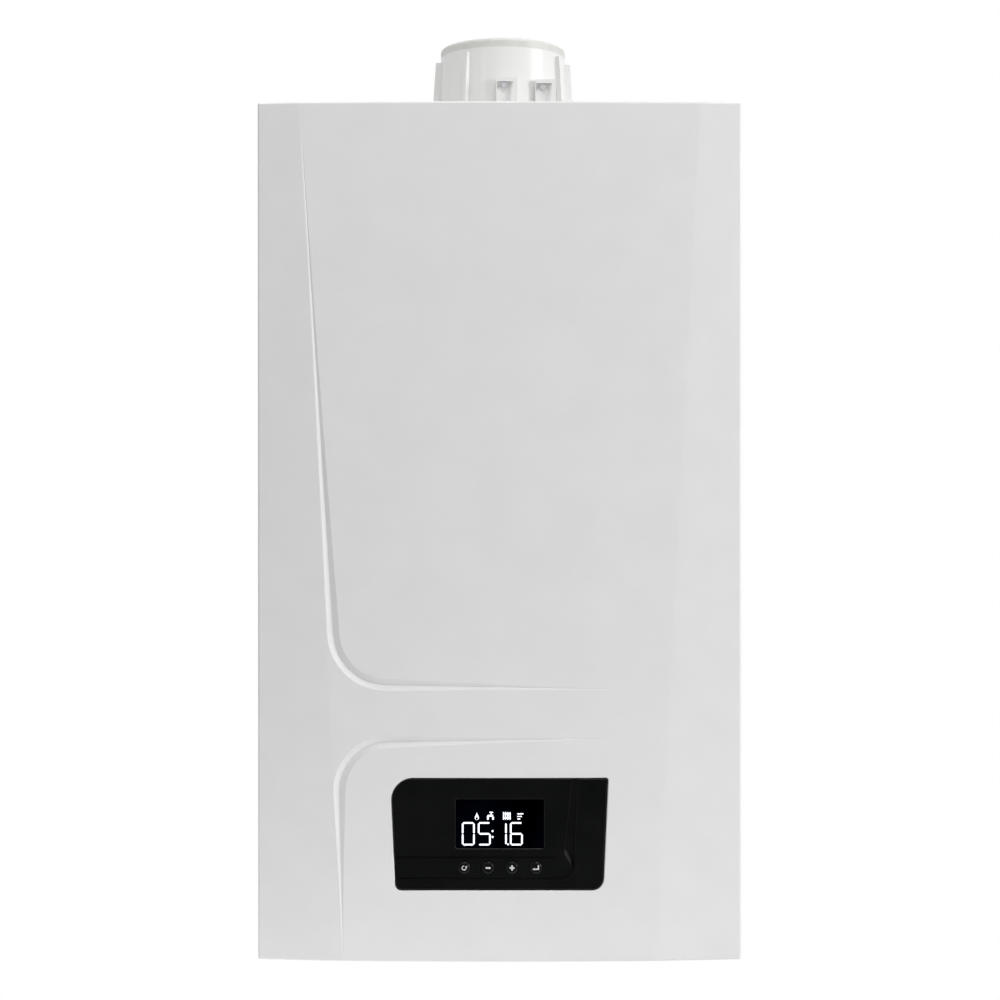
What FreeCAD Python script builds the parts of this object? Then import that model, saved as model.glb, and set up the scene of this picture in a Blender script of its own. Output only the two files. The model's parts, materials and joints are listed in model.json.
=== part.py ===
import FreeCAD
import Part
import math
import os

# Wall-hung condensing gas boiler, in millimetres.
# X runs to the right seen from the front, Y into the wall, Z up.
# The origin is midway between the two hanging slots, on the wall face of the back frame.

V = FreeCAD.Vector
EAST = V(1, 0, 0)
WALLWARD = V(0, 1, 0)
UP = V(0, 0, 1)
FULL_TURN = 360

# One overrun serves every cut
OVERRUN = 2.0

# Casing
CASE_W = 395.0
CASE_H = 700.0
CASE_D = 285.0
CHASSIS_D = 205.0
SHEET = 1.2
BACK_SHEET = 1.5
FLANGE = 14.0
HANG_DROP = 45.0
HANG_IN = 52.5
HANG_SLOT_W = 9.0
HANG_SLOT_L = 20.0
SEAL_T = 3.0
SEAL_W = 9.0
SEAL_INSET = 3.0

# Screws, for the casing and the cover
SCREW_HEAD_R = 4.0
SCREW_HEAD_H = 2.4
SCREW_SHANK_R = 1.9
SCREW_SHANK_L = 6.0
SCREW_CLEAR = 0.1
CASE_SCREW_FRONT_IN = 40.0
CASE_SCREW_REAR_IN = 40.0

# Front cover
CROWN_RISE = 3.0
CORNER_SETBACK_TOP = 6.8
CORNER_SETBACK_BOTTOM = 10.6
CREASE_IN_TOP = 33.6
CREASE_IN_BOTTOM = 70.2
COVER_EDGE_R = 1.8
TONGUE_IN = 77.5
TONGUE_W = 24.0
TONGUE_L = 24.0
TONGUE_SLOT_W = 5.0
TONGUE_NOTCH_GAP = 1.5
COVER_SCREW_IN = 12.0
CUTOUT_GAP = 0.8
CUTOUT_RIM_D = 4.0
CUTOUT_EDGE_R = 1.0

# Pressed grooves, as shares of the half width and half height from the middle of the cover
UPPER_GROOVE_SHARES = ((-0.8142, 0.9114), (-0.6739, -0.3540), (0.4648, -0.3666))
LOWER_GROOVE_SHARES = ((0.4486, -0.4809), (-0.6673, -0.4909), (-0.6451, -0.9789))
UPPER_GROOVE_R = 43.0
LOWER_GROOVE_R = 40.0
GROOVE_W = 10.0
GROOVE_END_W = 0.8
GROOVE_DEPTH_SHARE = 0.25
GROOVE_LEG_STEPS = 7
GROOVE_TAPER_POWER = 1.4
GROOVE_ARC_STEPS = 8

# Control fascia
FASCIA_W_TOP = 175.6
FASCIA_W_BOTTOM = 167.6
FASCIA_H = 89.8
FASCIA_LIFT = 58.9
FASCIA_SINK = 0.8
FASCIA_DEPTH = 12.0
FASCIA_WALL = 3.0
FASCIA_SIDE = 2.0
FASCIA_EDGE_R = 0.6
FASCIA_R_TOP_LEFT = 17.0
FASCIA_R_TOP_RIGHT = 1.2
FASCIA_R_BOTTOM_RIGHT = 9.0
FASCIA_R_BOTTOM_LEFT = 4.5
CHANNEL_DEPTH = 0.8
CHANNEL_LOW = 8.4
CHANNEL_HIGH = 26.6
CHANNEL_INNER_X = 52.7
CHANNEL_INNER_TOP_X = 59.6
CHANNEL_OUTER_X = 60.6
CHANNEL_OUTER_TOP_X = 63.9
CHANNEL_INNER_R = 3.0
CHANNEL_OUTER_R = 13.0
CHANNEL_END_R = 1.0
CHANNEL_RIM = 0.35
SHADOW_LINE_W = 0.6
SHADOW_LINE_DEPTH = 0.9
SHADOW_LINE_END_X = 45.3
ARM_DROP = 1.6
ARM_TOP_DEPTH = 0.5
ARM_RAMP_W = 3.4
ARM_RAMP_R = 2.5
ARM_RAMP_LEFT_X = 52.5
ARM_RAMP_LEFT_Z = 31.8
ARM_RAMP_RIGHT_X = 59.7
ARM_RAMP_RIGHT_Z = 19.9
WINDOW_W = 71.5
WINDOW_H = 39.5
WINDOW_X = 0.4
WINDOW_Z = 53.3
WINDOW_R = 1.5
WINDOW_GAP = 0.15
WINDOW_SINK = 0.3
WINDOW_BEVEL = 0.6

# Buttons
BUTTON_PITCH = 19.5
BUTTON_X = 0.6
BUTTON_Z = 17.5
BUTTON_R = 4.7
BUTTON_GAP = 0.35
BUTTON_PROUD = 0.8
BUTTON_DOME_R = 0.8
BUTTON_FLANGE_R = 6.2
BUTTON_FLANGE_T = 1.0
BUTTON_STEM_R = 2.0
BUTTON_STEM_L = 1.0
BUTTON_TRAVEL = 1.2
BUTTON_STOP_GAP = 0.4
BUTTON_COUNT = 4

# Display board
PCB_T = 1.6
DISPLAY_BOARD_W = 150.0
DISPLAY_BOARD_H = 68.0
DISPLAY_BOARD_Z = 44.0
BOARD_BOSS_R = 3.0
BOARD_BOSS_IN = 6.0
SWITCH_SIDE = 6.0
SWITCH_H = 1.6

# Control box and its tilt hinge
BOX_W = 190.0
BOX_H = 98.0
BOX_D = 57.0
BOX_LIFT = 54.0
BOX_WALL = 2.2
BOX_EDGE_R = 3.0
BOX_PORT_W = 120.0
BOX_PORT_H = 26.0
HINGE_IN = 13.0
HINGE_UP = 8.0
HINGE_R = 3.0
HINGE_CLEAR = 0.05
HINGE_LEN = 7.0
LID_RIM = 4.0
LID_RIM_GAP = 0.3
BRACKET_T = 2.0
BRACKET_SIDE_GAP = 2.0
BRACKET_FOOT_W = 16.0
BRACKET_ARM_W = 20.0
BRACKET_EYE_R = 10.0
BRACKET_FOOT_D = 24.0
BRACKET_FLANGE_GAP = 1.5
MAIN_BOARD_W = 165.0
MAIN_BOARD_H = 76.0
MAIN_BOSS_H = 8.0
MAIN_BOSS_IN = 8.0
TRANSFORMER_SIZE = 34.0
TRANSFORMER_H = 28.0
RELAY_W = 12.0
RELAY_L = 20.0
RELAY_H = 16.0
RELAY_COUNT = 4
RELAY_PITCH = 18.0

# Flue adaptor
FLUE_Y = 130.0
SOCKET_R = 50.0
SOCKET_DEPTH = 30.0
COLLAR_H = 67.0
COLLAR_R_TOP = 54.8
COLLAR_R_BASE = 57.0
COLLAR_STEP_R = 47.5
COLLAR_STEP_H = 6.0
COLLAR_LEDGE_R = 44.0
ADAPTOR_FLANGE_R = 72.0
ADAPTOR_FLANGE_T = 4.0
SPIGOT_R = 49.5
SPIGOT_L = 12.0
SPIGOT_CLEAR = 0.5
RIB_ANGLES = (-86, -31.7, 58, 94, 146, -146)
RIB_T = 3.2
RIB_TOP_H = 63.5
RIB_TOP_R = 59.2
RIB_BASE_R = 63.4
FLUE_PORT_X = 4.4
FLUE_PORT_REACH = 62.0
AIR_PORT_X = 37.8
AIR_PORT_REACH = 54.0
PORT_W = 18.0
PORT_H = 39.0
PORT_ROOF = 3.5
PORT_SIDE = 0.8
PORT_CHEEK_TOP = 3.5
PORT_CHEEK_FOOT = 7.0
PORT_CHEEK_SLOPE = 2.0
PORT_SILL = 8.0
PORT_RECESS = 2.5
CAP_R = 2.6
CAP_T = 2.0
CAP_X = -2.3
CAP_DROP = 6.4
CAP_STEM_R = 1.9
CAP_STEM_L = 5.0
CAP_STEM_CLEAR = 0.05
CAP_BORE_SPARE = 0.6
ADAPTOR_SCREW_R = 66.5
ADAPTOR_SCREW_ANGLES = (-60, 80, 120, -120)
SEAL_RING_H = 7.8
SEAL_RING_CLEAR = 0.6
SEAL_RING_EDGE_R = 3.0

# Inner flue socket and the flue duct
FLUE_R = 30.0
FLUE_SOCKET_WALL = 2.5
FLUE_SOCKET_TOP_DROP = 0.8
FLUE_SOCKET_L = 46.0
FLUE_SOCKET_BORE_L = 27.0
FLUE_STOP_T = 1.5
FLUE_STOP_IN = 1.5
DUCT_FIT = 0.1
DUCT_WALL = 1.5
DUCT_END_GAP = 0.8
DUCT_BEND_R = 44.0
DUCT_RUN_DROP = 60.0
WEB_COUNT = 3
WEB_T = 4.0
WEB_H = 4.5
WEB_GAP = 0.3

# Heat exchanger and what hangs on it
VESSEL_T = 70.0
RAIL_GAP = 2.5
RAIL_T = 6.0
RAIL_H = 30.0
RAIL_WALL = 1.5
RAIL_LOW_UP = 20.0
RAIL_HIGH_DOWN = 40.0
HX_W = 170.0
HX_D = 120.0
HX_X = -30.0
HX_LIFT = 340.0
HX_HEADROOM = 130.0
HX_WALL = 15.0
HX_BASE_H = 74.0
HX_WATERWAY_W = 16.0
HX_RIB_T = 5.0
HX_RIB_D = 5.0
HX_RIB_COUNT = 7
HX_RIB_PITCH = 22.0
HX_RIB_LIFT = 18.0
HX_RIB_DROP = 62.0
BURNER_PLATE_T = 3.0
BURNER_R = 28.0
BURNER_WALL = 1.2
BURNER_END_IN = 25.0
HOOD_H = 34.0
HOOD_WALL = 8.0
HOOD_ROOF = 7.0
HOOD_INSET = 2.0
ELECTRODE_BURNER_GAP = 4.0
ELECTRODE_X = 20.0
ELECTRODE_R = 5.0
ELECTRODE_CLEAR = 0.4
ELECTRODE_OUT = 22.0
ELECTRODE_WIRE_R = 1.2
ELECTRODE_WIRE_L = 20.0
ELECTRODE_PLATE_W = 30.0
ELECTRODE_PLATE_H = 18.0
ELECTRODE_PLATE_T = 3.0

# Condensate
SUMP_H = 50.0
SUMP_D = 85.0
SUMP_INSET = 2.0
SUMP_WALL = 3.0
SUMP_WING_H = 32.0
SUMP_NECK_W = 26.0
SUMP_SOCKET_WALL = 3.0
SUMP_SOCKET_DEPTH = 20.0
DUCT_HX_GAP = 8.0
SUMP_SPIGOT_R = 13.0
SUMP_SPIGOT_L = 18.0
SUMP_SPIGOT_WALL = 2.0
TRAP_X = -32.5
TRAP_BLOCK_GAP = 1.0
TRAP_R = 27.0
TRAP_H = 110.0
TRAP_WALL = 2.5
TRAP_FIT = 0.3
DRAIN_R = 12.5
DRAIN_BODY_R = 11.5
DRAIN_WALL = 1.8
DRAIN_END = 25.0
DRAIN_SPIGOT_L = 20.0

# Fan, venturi and air intake
FAN_OFF = 64.0
FAN_R = 54.0
FAN_T = 46.0
FAN_WALL = 3.0
FAN_OUT_H = 28.0
FAN_EYE_R = 20.0
FAN_FRONT_IN = 15.0
FAN_MOTOR_R = 36.0
FAN_MOTOR_L = 46.0
SHAFT_R = 4.0
SHAFT_CLEAR = 0.05
SHAFT_HOLE_CLEAR = 2.0
FAN_WHEEL_R = 46.0
FAN_WHEEL_GAP = 4.0
FAN_DISC_T = 2.0
FAN_HUB_R = 9.0
FAN_BLADE_T = 2.0
FAN_BLADE_COUNT = 12
FAN_BLADE_IN_R = 24.0
VENTURI_R = 28.0
VENTURI_L = 46.0
VENTURI_WALL = 3.0
SILENCER_R = 20.0
SILENCER_WALL = 2.0
SILENCER_L = 86.0
SILENCER_BELL_R = 27.0
SILENCER_BELL_L = 24.0

# Gas
GAS_VALVE_W = 64.0
GAS_VALVE_D = 60.0
GAS_VALVE_H = 70.0
GAS_VALVE_FAN_GAP = 40.0
GAS_COIL_R = 15.0
GAS_COIL_L = 34.0
GAS_PIPE_R = 9.0
GAS_PIPE_WALL = 1.2
GAS_SPIGOT_R = 7.5
INJECTOR_R = 6.0
INJECTOR_WALL = 1.0
INJECTOR_RISE = 16.0
INJECTOR_BEND_R = 12.0

# Water side
CONN_OFF = 100.0
CONN_PITCH = 65.0
BLOCK_END = 22.0
BLOCK_D = 60.0
BLOCK_H = 80.0
BLOCK_LIFT = 45.0
BLOCK_EDGE_R = 6.0
BLOCK_LEG_W = 16.0
BLOCK_LEG_D = 9.0
BLOCK_BORE_DEPTH = 50.0
TAIL_LARGE_R = 11.0
TAIL_SMALL_R = 7.5
TAIL_NECK_IN = 0.8
TAIL_WALL = 1.2
TAIL_END = 22.0
TAIL_SPIGOT_L = 16.0
GROMMET_HOLE_GAP = 5.0
GROMMET_LIP = 3.0
GROMMET_LIP_T = 1.6
GROMMET_FIT = 0.3
PLATE_HX_W = 150.0
PLATE_HX_D = 45.0
PLATE_HX_H = 70.0
PLATE_HX_T = 0.9
PLATE_HX_COUNT = 12
PLATE_HX_COLUMN_R = 12.0
PLATE_HX_COLUMN_IN = 18.0
PLATE_HX_X = -32.0
ACTUATOR_W = 50.0
ACTUATOR_D = 34.0
ACTUATOR_H = 58.0
ACTUATOR_EDGE_R = 4.0
VENT_R = 12.0
VENT_H = 55.0
VENT_CAP_R = 5.0
VENT_CAP_H = 8.0
RELIEF_R = 13.0
RELIEF_L = 18.0
RELIEF_OUT_R = 8.0
RELIEF_OUT_L = 26.0
RELIEF_OUT_WALL = 1.5
RELIEF_X = 32.0
RELIEF_SHAFT_R = 4.0
RELIEF_SHAFT_L = 10.0
KNOB_R = 15.0
KNOB_L = 14.0
KNOB_FLUTE_R = 2.5
KNOB_FLUTES = 8
PUMP_UP = 66.0
PUMP_R = 44.0
PUMP_T = 40.0
PUMP_NECK_R = 15.0
PUMP_NECK_WALL = 4.0
PUMP_TOP = 58.0
PUMP_CAVITY_R = 36.0
PUMP_CAVITY_T = 26.0
PUMP_WHEEL_R = 33.0
PUMP_WHEEL_GAP = 3.0
PUMP_HUB_R = 9.0
PUMP_DISC_T = 2.0
PUMP_VANES = 6
PUMP_VANE_T = 2.5
PUMP_MOTOR_R = 40.0
PUMP_MOTOR_L = 62.0
PUMP_BOX_W = 56.0
PUMP_BOX_H = 60.0
PUMP_BOX_D = 18.0
PIPE_R = 11.0
PIPE_WALL = 1.0
RETURN_RUN = 16.0
RETURN_BEND_R = 26.0
RETURN_PORT_IN = 25.0
VESSEL_W = 300.0
VESSEL_HEADROOM = 110.0
VESSEL_LIFT = 290.0
VESSEL_WALL = 1.2
VESSEL_CORNER_R = 60.0
VESSEL_EDGE_R = 24.0
HOSE_R = 5.0
HOSE_WALL = 1.0
HOSE_X = 74.0
HOSE_OFF = 36.0
HOSE_UP = 36.0
HOSE_BEND_R = 20.0

# Cable glands
GLAND_IN = 31.0
GLAND_FRONT_IN = 35.0
GLAND_PITCH = 32.0
GLAND_HEX_R = 11.0
GLAND_HEX_H = 6.0
GLAND_R = 8.0
GLAND_L = 9.0
GLAND_BORE_R = 4.0
GLAND_CLEAR = 0.1
GLAND_COUNT = 2
HEX_SIDES = 6

# Positions that follow from the sizes above
TOP = HANG_DROP
BOTTOM = HANG_DROP - CASE_H
MIDDLE = (TOP + BOTTOM) / 2
HALF_W = CASE_W / 2
HANG_PITCH = CASE_W - 2 * HANG_IN
TONGUE_X = HALF_W - TONGUE_IN
SIDE_IN = HALF_W - SHEET
FLOOR = BOTTOM + SHEET
CEILING = TOP - SHEET
BACK_IN = -BACK_SHEET
CHASSIS_FRONT = -CHASSIS_D
COVER_REAR = CHASSIS_FRONT - SEAL_T
FRONT = -CASE_D
FASCIA_FRONT = FRONT + FASCIA_SINK
FASCIA_REAR = FASCIA_FRONT + FASCIA_DEPTH
FASCIA_BOTTOM = BOTTOM + FASCIA_LIFT
BOX_FRONT = FASCIA_REAR
BOX_REAR = BOX_FRONT + BOX_D
BOX_BOTTOM = BOTTOM + BOX_LIFT
HINGE_Y = BOX_REAR - HINGE_IN
HINGE_Z = BOX_BOTTOM + HINGE_UP
CONN_Y = -CONN_OFF
FLOW_X = -2 * CONN_PITCH
HOT_X = -CONN_PITCH
COLD_X = 0
RETURN_X = CONN_PITCH
GAS_X = 2 * CONN_PITCH
BLOCK_BOTTOM = BOTTOM + BLOCK_LIFT
BLOCK_TOP = BLOCK_BOTTOM + BLOCK_H
BLOCK_FRONT = CONN_Y - BLOCK_D / 2
BLOCK_REAR = CONN_Y + BLOCK_D / 2
RISER_X = (FLOW_X + HOT_X) / 2
VESSEL_FRONT = BACK_IN - VESSEL_T
RAIL_REAR = VESSEL_FRONT - RAIL_GAP
HX_REAR = RAIL_REAR - RAIL_T
HX_FRONT = HX_REAR - HX_D
HX_LEFT = HX_X - HX_W / 2
HX_RIGHT = HX_X + HX_W / 2
HX_BOTTOM = BOTTOM + HX_LIFT
HX_TOP = TOP - HX_HEADROOM
HX_CHAMBER_FLOOR = HX_BOTTOM + HX_BASE_H
HOOD_BOTTOM = HX_TOP + BURNER_PLATE_T
HOOD_TOP = HOOD_BOTTOM + HOOD_H
SUMP_TOP = HX_BOTTOM
SUMP_BOTTOM = SUMP_TOP - SUMP_H
SUMP_FRONT = HX_FRONT + SUMP_INSET
SUMP_REAR = SUMP_FRONT + SUMP_D
DUCT_X = HX_LEFT - DUCT_HX_GAP - FLUE_R
DUCT_TOP = TOP - DUCT_RUN_DROP
FLUE_AXIS_Y = -FLUE_Y
RIM = TOP + COLLAR_H
SOCKET_FLOOR = RIM - SOCKET_DEPTH
LEDGE = SOCKET_FLOOR - COLLAR_STEP_H
FLUE_SOCKET_TOP = SOCKET_FLOOR - FLUE_SOCKET_TOP_DROP
FLUE_SOCKET_STOP = FLUE_SOCKET_TOP - FLUE_SOCKET_BORE_L
FAN_X = HX_RIGHT + FAN_OFF
FAN_Z = HOOD_BOTTOM + (HOOD_H + FAN_OUT_H) / 2 - FAN_R
FAN_FRONT = HX_FRONT + FAN_FRONT_IN
FAN_REAR = FAN_FRONT + FAN_T
VENTURI_FRONT = FAN_FRONT - VENTURI_L
VENTURI_Y = VENTURI_FRONT + VENTURI_L / 2
PUMP_Z = BLOCK_TOP + PUMP_UP
PUMP_FRONT = CONN_Y - PUMP_T / 2
PUMP_OUTLET = PUMP_Z + PUMP_TOP
RETURN_PORT_X = HX_RIGHT - RETURN_PORT_IN
GAS_VALVE_TOP = FAN_Z - FAN_R - GAS_VALVE_FAN_GAP
GAS_VALVE_BOTTOM = GAS_VALVE_TOP - GAS_VALVE_H
TRAP_Y = BLOCK_FRONT - TRAP_BLOCK_GAP - DRAIN_BODY_R
TRAP_TOP = SUMP_BOTTOM
TRAP_BOTTOM = TRAP_TOP - TRAP_H
VESSEL_BOTTOM = BOTTOM + VESSEL_LIFT
VESSEL_TOP = TOP - VESSEL_HEADROOM
GLAND_X = SIDE_IN - GLAND_IN


def box(x0, x1, y0, y1, z0, z1):
    """Block between two limits on each axis."""
    return Part.makeBox(x1 - x0, y1 - y0, z1 - z0, V(x0, y0, z0))


def rod(radius, start, along, length):
    """Round bar from a start point along a direction."""
    return Part.makeCylinder(radius, length, start, along)


def tube(radius, wall, start, along, length):
    """Round bar with a bore right through it."""
    bore_start = start - along * OVERRUN
    bore = rod(radius - wall, bore_start, along, length + 2 * OVERRUN)
    return rod(radius, start, along, length).cut(bore)


def rounded_corner(before, corner, after, radius):
    """Tangent points and middle point of the arc that rounds one corner."""
    back = (before - corner).normalize()
    ahead = (after - corner).normalize()
    half = back.getAngle(ahead) / 2
    reach = radius / math.tan(half)
    middle = (back + ahead).normalize()
    centre = corner + middle * (radius / math.sin(half))
    return corner + back * reach, centre - middle * radius, corner + ahead * reach


def rounded_outline(points, radii):
    """Closed wire through the corner points, each rounded by its own radius."""
    edges = []
    arcs = []
    count = len(points)
    for i in range(count):
        arcs.append(rounded_corner(points[i - 1], points[i], points[(i + 1) % count], radii[i]))
    for i in range(count):
        edges.append(Part.LineSegment(arcs[i - 1][2], arcs[i][0]).toShape())
        edges.append(Part.Arc(*arcs[i]).toShape())
    return Part.Wire(edges)


def bent_path(points, bend):
    """Open wire of straight runs and tangent arcs through the points."""
    edges = []
    last = points[0]
    for i in range(1, len(points) - 1):
        start, middle, end = rounded_corner(points[i - 1], points[i], points[i + 1], bend)
        edges.append(Part.LineSegment(last, start).toShape())
        edges.append(Part.Arc(start, middle, end).toShape())
        last = end
    edges.append(Part.LineSegment(last, points[-1]).toShape())
    return Part.Wire(edges)


def bent_rod(points, bend, radius):
    """Round bar that follows a bent path."""
    ring = Part.Wire([Part.makeCircle(radius, points[0], points[1] - points[0])])
    return bent_path(points, bend).makePipeShell([ring], True, False)


def bent_tube(points, bend, radius, wall):
    """Round bar that follows a bent path, with a bore right through it."""
    return bent_rod(points, bend, radius).cut(bent_rod(points, bend, radius - wall))


def turned(points, centre, along):
    """Solid of revolution from (radius, distance along the axis) points."""
    outline = [centre + EAST * radius + along * distance for radius, distance in points]
    face = Part.Face(Part.makePolygon(outline + outline[:1]))
    return face.revolve(centre, along, FULL_TURN)


def prism(points, along):
    """Straight-sided block from a closed row of points."""
    return Part.Face(Part.makePolygon(points + points[:1])).extrude(along)


def rounded_block(x0, x1, y0, y1, z0, z1, radius):
    """Block whose edges along Y are rounded."""
    points = [V(x0, y0, z0), V(x1, y0, z0), V(x1, y0, z1), V(x0, y0, z1)]
    return Part.Face(rounded_outline(points, [radius] * len(points))).extrude(V(0, y1 - y0, 0))


def slot_cutter(x, z, length, width, y0, y1):
    """Round-ended slot along X, cut through in Y."""
    half = (length - width) / 2
    radius = width / 2
    shape = box(x - half, x + half, y0, y1, z - radius, z + radius)
    for end in (-half, half):
        shape = shape.fuse(rod(radius, V(x + end, y0, z), WALLWARD, y1 - y0))
    return shape


def screw(at, along):
    """Pan-head screw whose head sits on the point and whose shank runs along the direction."""
    head = rod(SCREW_HEAD_R, at - along * SCREW_HEAD_H, along, SCREW_HEAD_H)
    return head.fuse(rod(SCREW_SHANK_R, at, along, SCREW_SHANK_L))


def screw_hole(at, along):
    """Clearance cutter for one screw shank."""
    start = at - along * OVERRUN
    return rod(SCREW_SHANK_R + SCREW_CLEAR, start, along, SCREW_SHANK_L + OVERRUN)


def mirrored_x(shape):
    """Copy on the other side of the middle plane."""
    return shape.mirror(V(0, 0, 0), EAST)


def case_screw_places():
    """Screw seats that hold the side panels, as a point and a direction."""
    places = []
    x = SIDE_IN - FLANGE / 2
    for side in (-x, x):
        for y in (CHASSIS_FRONT + CASE_SCREW_FRONT_IN, -CASE_SCREW_REAR_IN):
            places.append((V(side, y, TOP), -UP))
            places.append((V(side, y, BOTTOM), UP))
    return places


def adaptor_screw_places():
    """Screw seats on the flange of the flue adaptor."""
    places = []
    for angle in ADAPTOR_SCREW_ANGLES:
        seat = about_flue(angle, ADAPTOR_SCREW_R, TOP + ADAPTOR_FLANGE_T)
        places.append((seat, -UP))
    return places


def about_flue(angle, radius, z):
    """Point at an angle from the front, positive to the right, round the flue axis."""
    turn = math.radians(angle)
    return V(radius * math.sin(turn), FLUE_AXIS_Y - radius * math.cos(turn), z)


def at_flue_angle(shape, angle):
    """Turn a shape that was drawn at the front of the flue axis to another angle."""
    moved = shape.copy()
    moved.rotate(V(0, FLUE_AXIS_Y, 0), UP, angle)
    return moved


def tail_places():
    """Axis and outer radius of each pipe that passes the bottom panel."""
    places = [(FLOW_X, CONN_Y, TAIL_LARGE_R), (RETURN_X, CONN_Y, TAIL_LARGE_R)]
    places += [(HOT_X, CONN_Y, TAIL_SMALL_R), (COLD_X, CONN_Y, TAIL_SMALL_R)]
    places += [(GAS_X, CONN_Y, GAS_PIPE_R), (TRAP_X, TRAP_Y, DRAIN_R)]
    return places


def gland_places():
    """Axis of each cable gland in the bottom panel."""
    first = CHASSIS_FRONT + GLAND_FRONT_IN
    return [(GLAND_X, first + i * GLAND_PITCH) for i in range(GLAND_COUNT)]


def cover_screw_places():
    """Screw seats under the front cover."""
    y = CHASSIS_FRONT - COVER_SCREW_IN
    return [(V(x, y, BOTTOM), UP) for x in (-TONGUE_X, TONGUE_X)]


# Casing

def make_back_frame():
    plate = box(-HALF_W, HALF_W, -BACK_SHEET, 0, BOTTOM, TOP)
    for x in (-HANG_PITCH / 2, HANG_PITCH / 2):
        plate = plate.cut(slot_cutter(x, 0, HANG_SLOT_L, HANG_SLOT_W, BACK_IN - OVERRUN, OVERRUN))
    return plate


def make_right_side_panel():
    plate = box(SIDE_IN, HALF_W, CHASSIS_FRONT, BACK_IN, BOTTOM, TOP)
    inner = SIDE_IN - FLANGE
    front = box(inner, SIDE_IN, CHASSIS_FRONT, CHASSIS_FRONT + SHEET, BOTTOM + FLANGE, TOP - FLANGE)
    y0 = CHASSIS_FRONT + FLANGE
    y1 = BACK_IN - FLANGE
    upper = box(inner, SIDE_IN, y0, y1, CEILING - SHEET, CEILING)
    lower = box(inner, SIDE_IN, y0, y1, FLOOR, FLOOR + SHEET)
    panel = plate.fuse([front, upper, lower])
    return panel.cut([screw_hole(*place) for place in case_screw_places()]).removeSplitter()


def make_top_panel():
    sheet = box(-SIDE_IN, SIDE_IN, CHASSIS_FRONT, BACK_IN, CEILING, TOP)
    lip = box(-SIDE_IN, SIDE_IN, CHASSIS_FRONT, CHASSIS_FRONT + SHEET, TOP - FLANGE, CEILING)
    hole_start = V(0, FLUE_AXIS_Y, CEILING - OVERRUN)
    cuts = [rod(SPIGOT_R + SPIGOT_CLEAR, hole_start, UP, SHEET + 2 * OVERRUN)]
    cuts += [screw_hole(*place) for place in case_screw_places() + adaptor_screw_places()]
    return sheet.fuse(lip).cut(cuts).removeSplitter()


def make_bottom_panel():
    sheet = box(-SIDE_IN, SIDE_IN, CHASSIS_FRONT, BACK_IN, BOTTOM, FLOOR)
    lip = box(-SIDE_IN, SIDE_IN, CHASSIS_FRONT, CHASSIS_FRONT + SHEET, FLOOR, BOTTOM + FLANGE)
    joined = [lip]
    cuts = []
    for seat, along in cover_screw_places():
        half = TONGUE_W / 2
        tip = CHASSIS_FRONT - TONGUE_L
        joined.append(box(seat.x - half, seat.x + half, tip, CHASSIS_FRONT, FLOOR, FLOOR + SHEET))
        half_slot = TONGUE_SLOT_W / 2
        z0 = FLOOR - OVERRUN
        z1 = FLOOR + SHEET + OVERRUN
        cuts.append(box(seat.x - half_slot, seat.x + half_slot, tip - OVERRUN, seat.y, z0, z1))
        cuts.append(rod(half_slot, V(seat.x, seat.y, z0), UP, z1 - z0))
    for x, y, radius in tail_places():
        start = V(x, y, BOTTOM - OVERRUN)
        cuts.append(rod(radius + GROMMET_HOLE_GAP, start, UP, SHEET + 2 * OVERRUN))
    for x, y in gland_places():
        start = V(x, y, BOTTOM - OVERRUN)
        cuts.append(rod(GLAND_R + GLAND_CLEAR, start, UP, SHEET + 2 * OVERRUN))
    cuts += [screw_hole(*place) for place in case_screw_places()]
    return sheet.fuse(joined).cut(cuts).removeSplitter()


def make_casing_screws():
    places = case_screw_places() + adaptor_screw_places()
    return Part.makeCompound([screw(*place) for place in places])


def make_cover_screws():
    return Part.makeCompound([screw(*place) for place in cover_screw_places()])


def make_front_seal():
    x = HALF_W - SEAL_INSET
    z0 = BOTTOM + SEAL_INSET
    z1 = TOP - SEAL_INSET
    ring = box(-x, x, COVER_REAR, CHASSIS_FRONT, z0, z1)
    inner = x - SEAL_W
    y0 = COVER_REAR - OVERRUN
    y1 = CHASSIS_FRONT + OVERRUN
    return ring.cut(box(-inner, inner, y0, y1, z0 + SEAL_W, z1 - SEAL_W))


# Front cover

def crease_x(z):
    """Distance of the crease from the middle plane at one height."""
    share = (z - BOTTOM) / CASE_H
    return HALF_W - CREASE_IN_BOTTOM - (CREASE_IN_TOP - CREASE_IN_BOTTOM) * share


def corner_setback(z):
    """How far the side edges of the front stand behind its crown at one height."""
    share = (z - BOTTOM) / CASE_H
    return CORNER_SETBACK_BOTTOM + (CORNER_SETBACK_TOP - CORNER_SETBACK_BOTTOM) * share


def cover_face_y(x, z):
    """Outer face of the cover at one place."""
    crease = crease_x(z)
    if abs(x) <= crease:
        return FRONT + CROWN_RISE * (x / crease) ** 2
    share = (abs(x) - crease) / (HALF_W - crease)
    return FRONT + CROWN_RISE + (corner_setback(z) - CROWN_RISE) * share


def cover_section(z, inset):
    """Closed plan outline of the cover at one height, set in from the outer face."""
    half = HALF_W - inset
    crease = crease_x(z)
    front = FRONT + inset
    right_rear = V(half, COVER_REAR, z)
    right_corner = V(half, front + corner_setback(z), z)
    right_crease = V(crease, front + CROWN_RISE, z)
    middle = V(0, front, z)
    left_crease = V(-crease, front + CROWN_RISE, z)
    left_corner = V(-half, front + corner_setback(z), z)
    left_rear = V(-half, COVER_REAR, z)
    edges = [Part.LineSegment(right_rear, right_corner).toShape()]
    edges.append(Part.LineSegment(right_corner, right_crease).toShape())
    edges.append(Part.Arc(right_crease, middle, left_crease).toShape())
    edges.append(Part.LineSegment(left_crease, left_corner).toShape())
    edges.append(Part.LineSegment(left_corner, left_rear).toShape())
    edges.append(Part.LineSegment(left_rear, right_rear).toShape())
    return Part.Wire(edges)


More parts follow.
